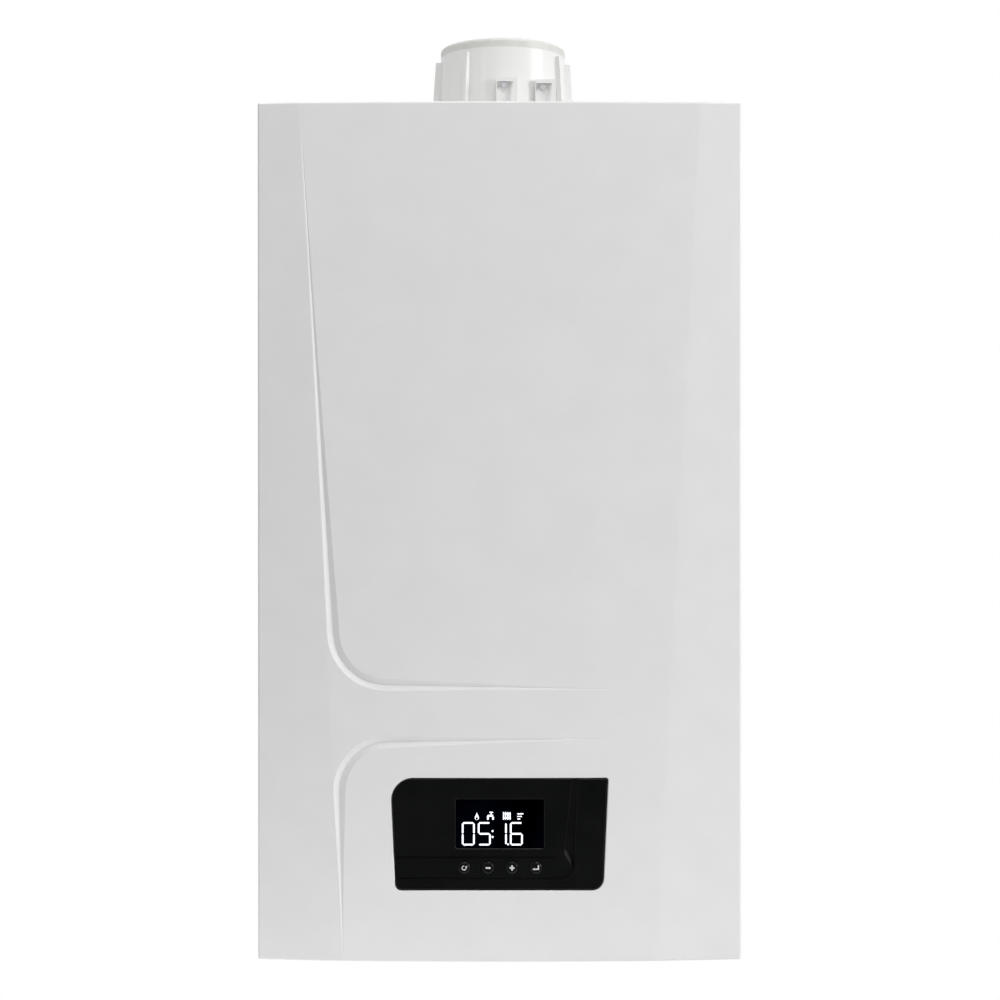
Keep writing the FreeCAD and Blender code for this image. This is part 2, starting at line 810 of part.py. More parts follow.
def cover_block(inset):
    """The cover as a filled block, set in from its outer faces."""
    ends = [cover_section(BOTTOM + inset, inset), cover_section(TOP - inset, inset)]
    return Part.makeLoft(ends, True, True)


def is_outer_edge(edge):
    """True for the folded edges round the front face of the filled cover."""
    middle = edge.valueAt((edge.FirstParameter + edge.LastParameter) / 2)
    at_end = abs(abs(middle.z - MIDDLE) - CASE_H / 2) < SHEET
    at_side = abs(abs(middle.x) - HALF_W) < SHEET
    at_front = middle.y < FRONT + CORNER_SETBACK_BOTTOM + SHEET
    return (at_front and (at_end or at_side)) or (at_end and at_side)


def groove_stations(shares, radius):
    """Points, tangents and width shares along a groove with one rounded corner."""
    start, corner, end = [V(x * HALF_W, 0, z * CASE_H / 2 + MIDDLE) for x, z in shares]
    arc_start, arc_middle, arc_end = rounded_corner(start, corner, end, radius)
    stations = []
    for i in range(GROOVE_LEG_STEPS):
        share = i / GROOVE_LEG_STEPS
        stations.append((start + (arc_start - start) * share, arc_start - start, share))
    arc = Part.Arc(arc_start, arc_middle, arc_end).toShape()
    for i in range(GROOVE_ARC_STEPS + 1):
        place = arc.FirstParameter + (arc.LastParameter - arc.FirstParameter) * i / GROOVE_ARC_STEPS
        stations.append((arc.valueAt(place), arc.tangentAt(place), 1))
    for i in range(1, GROOVE_LEG_STEPS + 1):
        share = i / GROOVE_LEG_STEPS
        stations.append((arc_end + (end - arc_end) * share, end - arc_end, 1 - share))
    return stations


def groove_cutter(shares, radius, extra):
    """V-shaped cutter that follows a groove; extra deepens it for the inner face."""
    slope = 2 * GROOVE_DEPTH_SHARE
    deeper = extra * math.sqrt(1 + slope ** 2)
    sections = []
    for point, tangent, share in groove_stations(shares, radius):
        width = GROOVE_END_W + (GROOVE_W - GROOVE_END_W) * share ** GROOVE_TAPER_POWER
        depth = width * GROOVE_DEPTH_SHARE + deeper
        side = tangent.normalize().cross(WALLWARD) * ((depth + OVERRUN) / slope)
        face = cover_face_y(point.x, point.z)
        lip = V(point.x, face - OVERRUN, point.z)
        root = V(point.x, face + depth, point.z)
        sections.append(Part.makePolygon([lip - side, lip + side, root, lip - side]))
    return Part.makeLoft(sections, True, True)


def fascia_corners(grow):
    """Corner points of the fascia, moved outwards by an amount."""
    half_low = FASCIA_W_BOTTOM / 2
    half_top = FASCIA_W_TOP / 2
    lean = (half_top - half_low) / FASCIA_H
    stretch = grow * math.sqrt(1 + lean ** 2)
    low = half_low + stretch - lean * grow
    high = half_top + stretch + lean * grow
    z0 = FASCIA_BOTTOM - grow
    z1 = FASCIA_BOTTOM + FASCIA_H + grow
    return [V(-low, 0, z0), V(low, 0, z0), V(high, 0, z1), V(-high, 0, z1)]


def fascia_prism(grow, y0, y1):
    """Block with the outline of the fascia, moved outwards by an amount."""
    radii = (FASCIA_R_BOTTOM_LEFT, FASCIA_R_BOTTOM_RIGHT, FASCIA_R_TOP_RIGHT, FASCIA_R_TOP_LEFT)
    rounded = [max(radius + grow, FASCIA_R_TOP_RIGHT) for radius in radii]
    face = Part.Face(rounded_outline(fascia_corners(grow), rounded))
    face.translate(V(0, y0, 0))
    return face.extrude(V(0, y1 - y0, 0))


def is_rim_edge(edge):
    """True for the edges where the cut-out for the fascia meets the outer face."""
    reach = FASCIA_W_TOP / 2 + CUTOUT_GAP + SHEET
    for place in (edge.FirstParameter, (edge.FirstParameter + edge.LastParameter) / 2, edge.LastParameter):
        point = edge.valueAt(place)
        if abs(point.y - cover_face_y(point.x, point.z)) > SHEET / 10 or abs(point.x) > reach:
            return False
        if abs(point.z - FASCIA_BOTTOM - FASCIA_H / 2) > FASCIA_H / 2 + CUTOUT_GAP + SHEET:
            return False
    return True


def make_front_cover():
    outer = cover_block(0)
    skin = outer.makeFillet(COVER_EDGE_R, [edge for edge in outer.Edges if is_outer_edge(edge)])
    inner = cover_block(SHEET)
    for shares, radius in ((UPPER_GROOVE_SHARES, UPPER_GROOVE_R), (LOWER_GROOVE_SHARES, LOWER_GROOVE_R)):
        skin = skin.cut(groove_cutter(shares, radius, 0))
        inner = inner.cut(groove_cutter(shares, radius, SHEET))
    shell = skin.cut(inner)
    lip_front = COVER_REAR - SHEET
    lip = box(-HALF_W + SHEET, HALF_W - SHEET, lip_front, COVER_REAR, FLOOR, CEILING)
    opening = HALF_W - FLANGE
    y1 = COVER_REAR + OVERRUN
    lip = lip.cut(box(-opening, opening, lip_front - OVERRUN, y1, BOTTOM + FLANGE, TOP - FLANGE))
    rim_rear = FRONT + CUTOUT_RIM_D + CROWN_RISE
    rim = fascia_prism(CUTOUT_GAP + SHEET, FRONT - OVERRUN, rim_rear).common(outer)
    cover = shell.fuse([lip, rim])
    cuts = [fascia_prism(CUTOUT_GAP, FRONT - OVERRUN, rim_rear + OVERRUN)]
    for seat, along in cover_screw_places():
        cuts.append(screw_hole(seat, along))
        half = TONGUE_W / 2 + TONGUE_NOTCH_GAP
        z1 = FLOOR + SHEET + TONGUE_NOTCH_GAP
        cuts.append(box(seat.x - half, seat.x + half, lip_front - OVERRUN, y1, FLOOR, z1))
    cover = cover.cut(cuts).removeSplitter()
    return cover.makeFillet(CUTOUT_EDGE_R, [edge for edge in cover.Edges if is_rim_edge(edge)])


# Control panel

def button_places():
    """Centre of each button, from left to right."""
    first = BUTTON_X - BUTTON_PITCH * (BUTTON_COUNT - 1) / 2
    z = FASCIA_BOTTOM + BUTTON_Z
    return [V(first + i * BUTTON_PITCH, 0, z) for i in range(BUTTON_COUNT)]


def window_block(grow, y0, y1):
    """Block with the outline of the display window, moved outwards by an amount."""
    half = WINDOW_W / 2 + grow
    z0 = FASCIA_BOTTOM + WINDOW_Z - WINDOW_H / 2 - grow
    z1 = FASCIA_BOTTOM + WINDOW_Z + WINDOW_H / 2 + grow
    return rounded_block(WINDOW_X - half, WINDOW_X + half, y0, y1, z0, z1, WINDOW_R + grow)


def arm_ramp():
    """What stays of the recess floor at the soft ramp that leads down into the upright arm."""
    left = V(ARM_RAMP_LEFT_X, 0, FASCIA_BOTTOM + ARM_RAMP_LEFT_Z)
    right = V(ARM_RAMP_RIGHT_X, 0, FASCIA_BOTTOM + ARM_RAMP_RIGHT_Z)
    along = (right - left).normalize()
    across = V(-along.z, 0, along.x)
    half = ARM_RAMP_W / 2
    shallow = FASCIA_FRONT + CHANNEL_DEPTH
    deep = shallow + ARM_DROP
    below = deep + 2 * OVERRUN
    far = FASCIA_W_TOP
    section = [(-far, shallow), (-half, shallow), (half, deep), (far, deep), (far, below), (-far, below)]
    radii = [CHANNEL_END_R, ARM_RAMP_R, ARM_RAMP_R, CHANNEL_END_R, CHANNEL_END_R, CHANNEL_END_R]
    start = left - along * far
    outline = rounded_outline([start + across * n + V(0, y, 0) for n, y in section], radii)
    return Part.Face(outline).extrude(along * (2 * far))


def arm_slope():
    """What stays of the recess floor behind the upright arm, which gets shallower towards the top."""
    low = FASCIA_BOTTOM + ARM_RAMP_LEFT_Z
    high = FASCIA_BOTTOM + FASCIA_H + OVERRUN
    deep = FASCIA_FRONT + CHANNEL_DEPTH + ARM_DROP
    below = deep + OVERRUN
    section = [(deep, low), (FASCIA_FRONT + ARM_TOP_DEPTH, high), (below, high), (below, low)]
    return prism([V(-FASCIA_W_TOP, y, z) for y, z in section], V(2 * FASCIA_W_TOP, 0, 0))


def channel_cutter():
    """Recess from the left edge along the buttons and up the right-hand side, where its rim is bevelled."""
    y = FASCIA_FRONT - OVERRUN
    z0 = FASCIA_BOTTOM + CHANNEL_LOW
    z1 = FASCIA_BOTTOM + CHANNEL_HIGH
    top = FASCIA_BOTTOM + FASCIA_H + OVERRUN
    left = -FASCIA_W_TOP / 2 - OVERRUN
    points = [V(left, y, z0), V(CHANNEL_OUTER_X, y, z0), V(CHANNEL_OUTER_TOP_X, y, top)]
    points += [V(CHANNEL_INNER_TOP_X, y, top), V(CHANNEL_INNER_X, y, z1), V(left, y, z1)]
    radii = [CHANNEL_END_R, CHANNEL_OUTER_R, CHANNEL_END_R, CHANNEL_END_R, CHANNEL_INNER_R, CHANNEL_END_R]
    outline = rounded_outline(points, radii)
    depth = OVERRUN + CHANNEL_DEPTH + ARM_DROP
    recess = Part.Face(outline).extrude(V(0, depth, 0)).cut([arm_ramp(), arm_slope()])
    foot = outline.copy()
    foot.translate(V(0, OVERRUN + CHANNEL_RIM, 0))
    bevel = Part.makeLoft([outline.makeOffset2D(OVERRUN + CHANNEL_RIM), foot], True, True)
    arm = box(0, FASCIA_W_TOP, y, FASCIA_FRONT + FASCIA_WALL, z1 + CHANNEL_INNER_R, top)
    return recess.fuse(bevel.common(arm))


def shadow_line():
    """Narrow groove that draws a dark line along the upper edge of the button recess."""
    high = FASCIA_BOTTOM + CHANNEL_HIGH
    floor = FASCIA_FRONT + CHANNEL_DEPTH
    left = -FASCIA_W_TOP / 2 - OVERRUN
    rear = floor + SHADOW_LINE_DEPTH
    return box(left, SHADOW_LINE_END_X, floor - CHANNEL_DEPTH / 2, rear, high - SHADOW_LINE_W, high)


def window_bevel():
    """Cutter that bevels the fascia's edge around the display window."""
    rings = []
    for depth in (-OVERRUN, WINDOW_BEVEL):
        y = FASCIA_FRONT + depth
        block = window_block(WINDOW_GAP + WINDOW_BEVEL - depth, y, y + OVERRUN)
        front = min(block.Faces, key=lambda face: face.CenterOfMass.y)
        rings.append(front.OuterWire)
    return Part.makeLoft(rings, True, True)


def display_board_front():
    """Front face of the display board, behind the pressed buttons."""
    switch = FASCIA_FRONT + FASCIA_WALL + BUTTON_FLANGE_T + BUTTON_STEM_L + BUTTON_TRAVEL + BUTTON_STOP_GAP
    return switch + SWITCH_H


def board_corners(width, height, inset, z):
    """Four corner points of a board, set in from its edges."""
    half_w = width / 2 - inset
    half_h = height / 2 - inset
    return [V(x, 0, z + dz) for x in (-half_w, half_w) for dz in (-half_h, half_h)]


def make_control_fascia():
    shell = fascia_prism(0, FASCIA_FRONT, FASCIA_REAR)
    front = [edge for edge in shell.Edges if edge.BoundBox.YMax < FASCIA_FRONT + FASCIA_EDGE_R]
    shell = shell.makeFillet(FASCIA_EDGE_R, front)
    shell = shell.cut(fascia_prism(-FASCIA_SIDE, FASCIA_FRONT + FASCIA_WALL, FASCIA_REAR + OVERRUN))
    behind = FASCIA_FRONT + FASCIA_WALL
    board = display_board_front()
    board_z = FASCIA_BOTTOM + DISPLAY_BOARD_Z
    for corner in board_corners(DISPLAY_BOARD_W, DISPLAY_BOARD_H, BOARD_BOSS_IN, board_z):
        shell = shell.fuse(rod(BOARD_BOSS_R, V(corner.x, behind, corner.z), WALLWARD, board - behind))
    opening = window_block(WINDOW_GAP, FASCIA_FRONT - OVERRUN, behind + OVERRUN)
    cuts = [channel_cutter(), shadow_line(), opening, window_bevel()]
    for place in button_places():
        start = V(place.x, FASCIA_FRONT - OVERRUN, place.z)
        cuts.append(rod(BUTTON_R + BUTTON_GAP, start, WALLWARD, FASCIA_WALL + 2 * OVERRUN))
    return shell.cut(cuts).removeSplitter()


def make_display_window():
    return window_block(0, FASCIA_FRONT + WINDOW_SINK, FASCIA_FRONT + FASCIA_WALL)


def make_display_board():
    front = display_board_front()
    z = FASCIA_BOTTOM + DISPLAY_BOARD_Z
    half_w = DISPLAY_BOARD_W / 2
    half_h = DISPLAY_BOARD_H / 2
    board = box(-half_w, half_w, front, front + PCB_T, z - half_h, z + half_h)
    joined = [window_block(-WINDOW_R / 2, FASCIA_FRONT + FASCIA_WALL, front)]
    half = SWITCH_SIDE / 2
    for place in button_places():
        x = place.x
        joined.append(box(x - half, x + half, front - SWITCH_H, front, place.z - half, place.z + half))
    return board.fuse(joined).removeSplitter()


def make_button(place):
    face = FASCIA_FRONT + CHANNEL_DEPTH - BUTTON_PROUD
    behind = FASCIA_FRONT + FASCIA_WALL
    cap = rod(BUTTON_R, V(place.x, face, place.z), WALLWARD, behind - face)
    front_edge = [edge for edge in cap.Edges if edge.BoundBox.YMax < face + BUTTON_DOME_R / 2]
    cap = cap.makeFillet(BUTTON_DOME_R, front_edge)
    flange = rod(BUTTON_FLANGE_R, V(place.x, behind, place.z), WALLWARD, BUTTON_FLANGE_T)
    stem = rod(BUTTON_STEM_R, V(place.x, behind + BUTTON_FLANGE_T, place.z), WALLWARD, BUTTON_STEM_L)
    return cap.fuse([flange, stem])


def make_control_box():
    half = BOX_W / 2
    top = BOX_BOTTOM + BOX_H
    outer = rounded_block(-half, half, BOX_FRONT, BOX_REAR, BOX_BOTTOM, top, BOX_EDGE_R)
    inner = half - BOX_WALL
    plate = BOX_FRONT + BOX_WALL
    hollow = box(-inner, inner, plate, BOX_REAR + OVERRUN, BOX_BOTTOM + BOX_WALL, top - BOX_WALL)
    shell = outer.cut(hollow)
    middle = BOX_BOTTOM + BOX_H / 2
    for corner in board_corners(MAIN_BOARD_W, MAIN_BOARD_H, MAIN_BOSS_IN, middle):
        shell = shell.fuse(rod(BOARD_BOSS_R, V(corner.x, plate, corner.z), WALLWARD, MAIN_BOSS_H))
    for side in (-1, 1):
        start = V(side * (half - BOX_WALL), HINGE_Y, HINGE_Z)
        shell = shell.fuse(rod(HINGE_R, start, EAST * side, HINGE_LEN + BOX_WALL))
    port_half = BOX_PORT_W / 2
    port_low = middle - BOX_PORT_H / 2
    port_y = BOX_FRONT - OVERRUN
    port = box(-port_half, port_half, port_y, plate + OVERRUN, port_low, port_low + BOX_PORT_H)
    return shell.cut(port).removeSplitter()


def make_control_lid():
    half = BOX_W / 2
    top = BOX_BOTTOM + BOX_H
    rear = BOX_REAR + BOX_WALL
    plate = rounded_block(-half, half, BOX_REAR, rear, BOX_BOTTOM, top, BOX_EDGE_R)
    inset = BOX_WALL + LID_RIM_GAP
    edge = half - inset
    rim = box(-edge, edge, BOX_REAR - LID_RIM, BOX_REAR, BOX_BOTTOM + inset, top - inset)
    inner = inset + BOX_WALL
    edge = half - inner
    rim_hollow = box(-edge, edge, BOX_REAR - LID_RIM - OVERRUN, BOX_REAR, BOX_BOTTOM + inner, top - inner)
    return plate.fuse(rim.cut(rim_hollow)).removeSplitter()


def make_control_board():
    front = BOX_FRONT + BOX_WALL + MAIN_BOSS_H
    rear = front + PCB_T
    middle = BOX_BOTTOM + BOX_H / 2
    half_w = MAIN_BOARD_W / 2
    half_h = MAIN_BOARD_H / 2
    board = box(-half_w, half_w, front, rear, middle - half_h, middle + half_h)
    size = TRANSFORMER_SIZE / 2
    x = half_w - TRANSFORMER_SIZE
    joined = [box(x - size, x + size, rear, rear + TRANSFORMER_H, middle - size, middle + size)]
    half = RELAY_W / 2
    for i in range(RELAY_COUNT):
        x = -half_w + RELAY_PITCH * (i + 1)
        joined.append(box(x - half, x + half, rear, rear + RELAY_H, middle - RELAY_L, middle))
    return board.fuse(joined).removeSplitter()


def make_hinge_brackets():
    x0 = BOX_W / 2 + BRACKET_SIDE_GAP
    foot_front = CHASSIS_FRONT + SHEET + BRACKET_FLANGE_GAP
    foot_rear = foot_front + BRACKET_FOOT_D
    elbow = BOTTOM + FLANGE + BRACKET_FLANGE_GAP
    front = HINGE_Y - BRACKET_EYE_R
    high = HINGE_Z + BRACKET_EYE_R
    points = [V(x0, foot_rear, FLOOR), V(x0, foot_front, FLOOR), V(x0, foot_front, elbow)]
    points += [V(x0, front, elbow + BRACKET_EYE_R), V(x0, front, high)]
    points += [V(x0, HINGE_Y + BRACKET_EYE_R, high), V(x0, foot_rear, elbow + BRACKET_ARM_W)]
    arm = prism(points, EAST * BRACKET_T)
    foot = box(x0, x0 + BRACKET_FOOT_W, foot_front, foot_rear, FLOOR, FLOOR + BRACKET_T)
    eye = rod(HINGE_R + HINGE_CLEAR, V(x0 - OVERRUN, HINGE_Y, HINGE_Z), EAST, BRACKET_T + 2 * OVERRUN)
    bracket = arm.fuse(foot).cut(eye).removeSplitter()
    return Part.makeCompound([bracket, mirrored_x(bracket)])


# Flue

def make_flue_adaptor():
    under = -SPIGOT_L
    step = LEDGE - TOP
    floor = SOCKET_FLOOR - TOP
    profile = [(COLLAR_LEDGE_R, under), (SPIGOT_R, under), (SPIGOT_R, 0), (ADAPTOR_FLANGE_R, 0)]
    profile += [(ADAPTOR_FLANGE_R, ADAPTOR_FLANGE_T), (COLLAR_R_BASE, ADAPTOR_FLANGE_T)]
    profile += [(COLLAR_R_TOP, COLLAR_H), (SOCKET_R, COLLAR_H), (SOCKET_R, floor)]
    profile += [(COLLAR_STEP_R, floor), (COLLAR_STEP_R, step), (COLLAR_LEDGE_R, step)]
    body = turned(profile, V(0, FLUE_AXIS_Y, TOP), UP)
    wall = (SOCKET_R + COLLAR_R_TOP) / 2
    low = TOP + ADAPTOR_FLANGE_T
    rib_top = TOP + RIB_TOP_H
    points = [V(-RIB_T / 2, FLUE_AXIS_Y - wall, low), V(-RIB_T / 2, FLUE_AXIS_Y - RIB_BASE_R, low)]
    points += [V(-RIB_T / 2, FLUE_AXIS_Y - RIB_TOP_R, rib_top), V(-RIB_T / 2, FLUE_AXIS_Y - wall, rib_top)]
    rib = prism(points, EAST * RIB_T)
    joined = [at_flue_angle(rib, angle) for angle in RIB_ANGLES]
    ports = [(FLUE_PORT_X, FLUE_PORT_REACH), (AIR_PORT_X, AIR_PORT_REACH)]
    joined += [port_hood(x, reach) for x, reach in ports]
    body = body.fuse(joined)
    cuts = [port_recess(x, reach) for x, reach in ports]
    cuts += [cap_bore(x, reach) for x, reach in ports]
    cuts += [screw_hole(*place) for place in adaptor_screw_places()]
    return body.cut(cuts).removeSplitter()


def port_hood(x, reach):
    """Block of a test port, which faces the room and grows out of the collar's wall."""
    half = PORT_W / 2
    low = TOP + ADAPTOR_FLANGE_T
    block = box(x - half, x + half, FLUE_AXIS_Y - reach, FLUE_AXIS_Y, low, TOP + PORT_H)
    wall = (SOCKET_R + COLLAR_R_TOP) / 2
    return block.cut(rod(wall, V(0, FLUE_AXIS_Y, low - OVERRUN), UP, PORT_H + OVERRUN))


def port_recess(x, reach):
    """Recess under the roof of a test port, whose right-hand cheek leans and slopes."""
    left = x - PORT_W / 2 + PORT_SIDE
    right = x + PORT_W / 2
    z0 = TOP + PORT_SILL
    z1 = TOP + PORT_H - PORT_ROOF
    outlines = []
    for depth in (-OVERRUN, PORT_RECESS):
        y = FLUE_AXIS_Y - reach + depth
        slope = PORT_CHEEK_SLOPE * depth / PORT_RECESS
        points = [V(left, y, z0), V(right - PORT_CHEEK_FOOT - slope, y, z0)]
        points += [V(right - PORT_CHEEK_TOP - slope, y, z1), V(left, y, z1)]
        outlines.append(Part.makePolygon(points + points[:1]))
    return Part.makeLoft(outlines, True, True)


def cap_seat(x, reach):
    """Middle of a test cap's seat on the floor of its port."""
    return V(x + CAP_X, FLUE_AXIS_Y - reach + PORT_RECESS, TOP + PORT_H - CAP_DROP)


def cap_bore(x, reach):
    """Blind bore that takes the stem of a test cap."""
    start = cap_seat(x, reach) - WALLWARD * OVERRUN
    return rod(CAP_STEM_R + CAP_STEM_CLEAR, start, WALLWARD, OVERRUN + CAP_STEM_L + CAP_BORE_SPARE)


def make_test_cap(x, reach):
    seat = cap_seat(x, reach)
    head = rod(CAP_R, seat - WALLWARD * CAP_T, WALLWARD, CAP_T)
    return head.fuse(rod(CAP_STEM_R, seat, WALLWARD, CAP_STEM_L))


def make_air_seal_ring():
    inner = SOCKET_R + SEAL_RING_CLEAR
    profile = [(inner, 0), (COLLAR_R_TOP, 0), (COLLAR_R_TOP, SEAL_RING_H), (inner, SEAL_RING_H)]
    ring = turned(profile, V(0, FLUE_AXIS_Y, RIM), UP)
    high = RIM + SEAL_RING_H
    top_edges = [edge for edge in ring.Edges if edge.BoundBox.ZMin > high - SHEET]
    outer_top = [edge for edge in top_edges if edge.BoundBox.XMax > COLLAR_R_TOP - SHEET]
    return ring.makeFillet(SEAL_RING_EDGE_R, outer_top)


def make_inner_flue_socket():
    top = FLUE_SOCKET_TOP - TOP
    stop = FLUE_SOCKET_STOP - TOP
    low = top - FLUE_SOCKET_L
    outer = FLUE_R + FLUE_SOCKET_WALL
    slip = FLUE_R + DUCT_FIT
    profile = [(outer, low), (outer, top), (FLUE_R, top), (FLUE_R, stop), (FLUE_R - FLUE_STOP_IN, stop)]
    profile += [(FLUE_R - FLUE_STOP_IN, stop - FLUE_STOP_T), (slip, stop - FLUE_STOP_T), (slip, low)]
    body = turned(profile, V(0, FLUE_AXIS_Y, TOP), UP)
    inner = FLUE_R + FLUE_SOCKET_WALL / 2
    reach = COLLAR_STEP_R - WEB_GAP
    half = WEB_T / 2
    web = box(-half, half, FLUE_AXIS_Y - reach, FLUE_AXIS_Y - inner, LEDGE, LEDGE + WEB_H)
    webs = [at_flue_angle(web, i * FULL_TURN / WEB_COUNT) for i in range(WEB_COUNT)]
    return body.fuse(webs).removeSplitter()


def make_flue_duct():
    low = SUMP_TOP + SUMP_SOCKET_WALL - SUMP_SOCKET_DEPTH
    end = FLUE_SOCKET_STOP - FLUE_STOP_T - DUCT_END_GAP
    points = [V(DUCT_X, FLUE_AXIS_Y, low), V(DUCT_X, FLUE_AXIS_Y, DUCT_TOP)]
    points += [V(0, FLUE_AXIS_Y, DUCT_TOP), V(0, FLUE_AXIS_Y, end)]
    return bent_tube(points, DUCT_BEND_R, FLUE_R, DUCT_WALL)


# Heat exchanger, burner and condensate

def make_heat_exchanger():
    body = box(HX_LEFT, HX_RIGHT, HX_FRONT, HX_REAR, HX_BOTTOM, HX_TOP)
    ribs = []
    for i in range(HX_RIB_COUNT):
        x = HX_X + (i - (HX_RIB_COUNT - 1) / 2) * HX_RIB_PITCH
        z0 = HX_BOTTOM + HX_RIB_LIFT
        z1 = HX_TOP - HX_RIB_DROP
        half = HX_RIB_T / 2
        ribs.append(box(x - half, x + half, HX_FRONT - HX_RIB_D, HX_FRONT, z0, z1))
    body = body.fuse(ribs)
    x0 = HX_LEFT + HX_WALL
    x1 = HX_RIGHT - HX_WALL
    y0 = HX_FRONT + HX_WALL
    y1 = HX_REAR - HX_WALL
    chamber = box(x0, x1, y0, y1, HX_CHAMBER_FLOOR, HX_TOP + OVERRUN)
    gas_way = box(x0, x1, y0, SUMP_REAR - HX_WALL, HX_BOTTOM - OVERRUN, HX_CHAMBER_FLOOR)
    cuts = [chamber, gas_way, electrode_hole()]
    for x in (RISER_X, RETURN_PORT_X):
        cuts.append(rod(PIPE_R - PIPE_WALL, V(x, CONN_Y, HX_BOTTOM - OVERRUN), UP, HX_WATERWAY_W))
    return body.cut(cuts).removeSplitter()


def electrode_seat():
    """Middle of the ignition electrode on the front of the exchanger."""
    return V(ELECTRODE_X, HX_FRONT, HX_TOP - BURNER_R - ELECTRODE_BURNER_GAP)


def electrode_hole():
    start = electrode_seat() - WALLWARD * OVERRUN
    return rod(ELECTRODE_R + ELECTRODE_CLEAR, start, WALLWARD, HX_WALL + 2 * OVERRUN)


def make_ignition_electrode():
    seat = electrode_seat()
    plate_front = HX_FRONT - ELECTRODE_PLATE_T
    half_w = ELECTRODE_PLATE_W / 2
    half_h = ELECTRODE_PLATE_H / 2
    plate = box(seat.x - half_w, seat.x + half_w, plate_front, HX_FRONT, seat.z - half_h, seat.z + half_h)
    body_start = V(seat.x, HX_FRONT - ELECTRODE_OUT, seat.z)
    body = rod(ELECTRODE_R, body_start, WALLWARD, ELECTRODE_OUT + HX_WALL)
    wire = rod(ELECTRODE_WIRE_R, V(seat.x, HX_FRONT + HX_WALL, seat.z), WALLWARD, ELECTRODE_WIRE_L)
    return plate.fuse([body, wire])


def make_exchanger_rails():
    rails = []
    for z in (HX_BOTTOM + RAIL_LOW_UP, HX_TOP - RAIL_HIGH_DOWN):
        bar = box(-SIDE_IN, SIDE_IN, HX_REAR, RAIL_REAR, z, z + RAIL_H)
        y0 = HX_REAR + RAIL_WALL
        z0 = z + RAIL_WALL
        reach = SIDE_IN + OVERRUN
        hollow = box(-reach, reach, y0, RAIL_REAR + OVERRUN, z0, z + RAIL_H - RAIL_WALL)
        rails.append(bar.cut(hollow))
    return Part.makeCompound(rails)


def make_burner():
    x0 = HX_LEFT + HOOD_INSET
    x1 = HX_RIGHT - HOOD_INSET
    plate = box(x0, x1, HX_FRONT + HOOD_INSET, HX_REAR - HOOD_INSET, HX_TOP, HOOD_BOTTOM)
    middle = (HX_FRONT + HX_REAR) / 2
    start = V(HX_LEFT + BURNER_END_IN, middle, HX_TOP)
    length = HX_W - 2 * BURNER_END_IN
    below = box(x0, x1, HX_FRONT, HX_REAR, HX_TOP - BURNER_R - OVERRUN, HX_TOP)
    deck = rod(BURNER_R, start, EAST, length).common(below)
    hollow_start = start + EAST * BURNER_WALL
    hollow = rod(BURNER_R - BURNER_WALL, hollow_start, EAST, length - 2 * BURNER_WALL)
    return plate.fuse(deck).cut(hollow).removeSplitter()


def fan_outlet(inset, x0, x1):
    """Square duct from the fan to the hood, set in from its outer faces."""
    z1 = FAN_Z + FAN_R - inset
    z0 = FAN_Z + FAN_R - FAN_OUT_H + inset
    return box(x0, x1, FAN_FRONT + inset, FAN_REAR - inset, z0, z1)


def make_burner_hood():
    x0 = HX_LEFT + HOOD_INSET
    outer = box(x0, HX_RIGHT, HX_FRONT + HOOD_INSET, HX_REAR - HOOD_INSET, HOOD_BOTTOM, HOOD_TOP)
    y0 = HX_FRONT + HOOD_INSET + HOOD_WALL
    y1 = HX_REAR - HOOD_INSET - HOOD_WALL
    x1 = HX_RIGHT - HOOD_WALL
    hollow = box(x0 + HOOD_WALL, x1, y0, y1, HOOD_BOTTOM - OVERRUN, HOOD_TOP - HOOD_ROOF)
    inlet = fan_outlet(FAN_WALL, x1 - OVERRUN, HX_RIGHT + OVERRUN)
    upright = [edge for edge in outer.Edges if edge.BoundBox.ZLength > HOOD_H / 2]
    return outer.makeFillet(HOOD_WALL / 2, upright).cut([hollow, inlet]).removeSplitter()


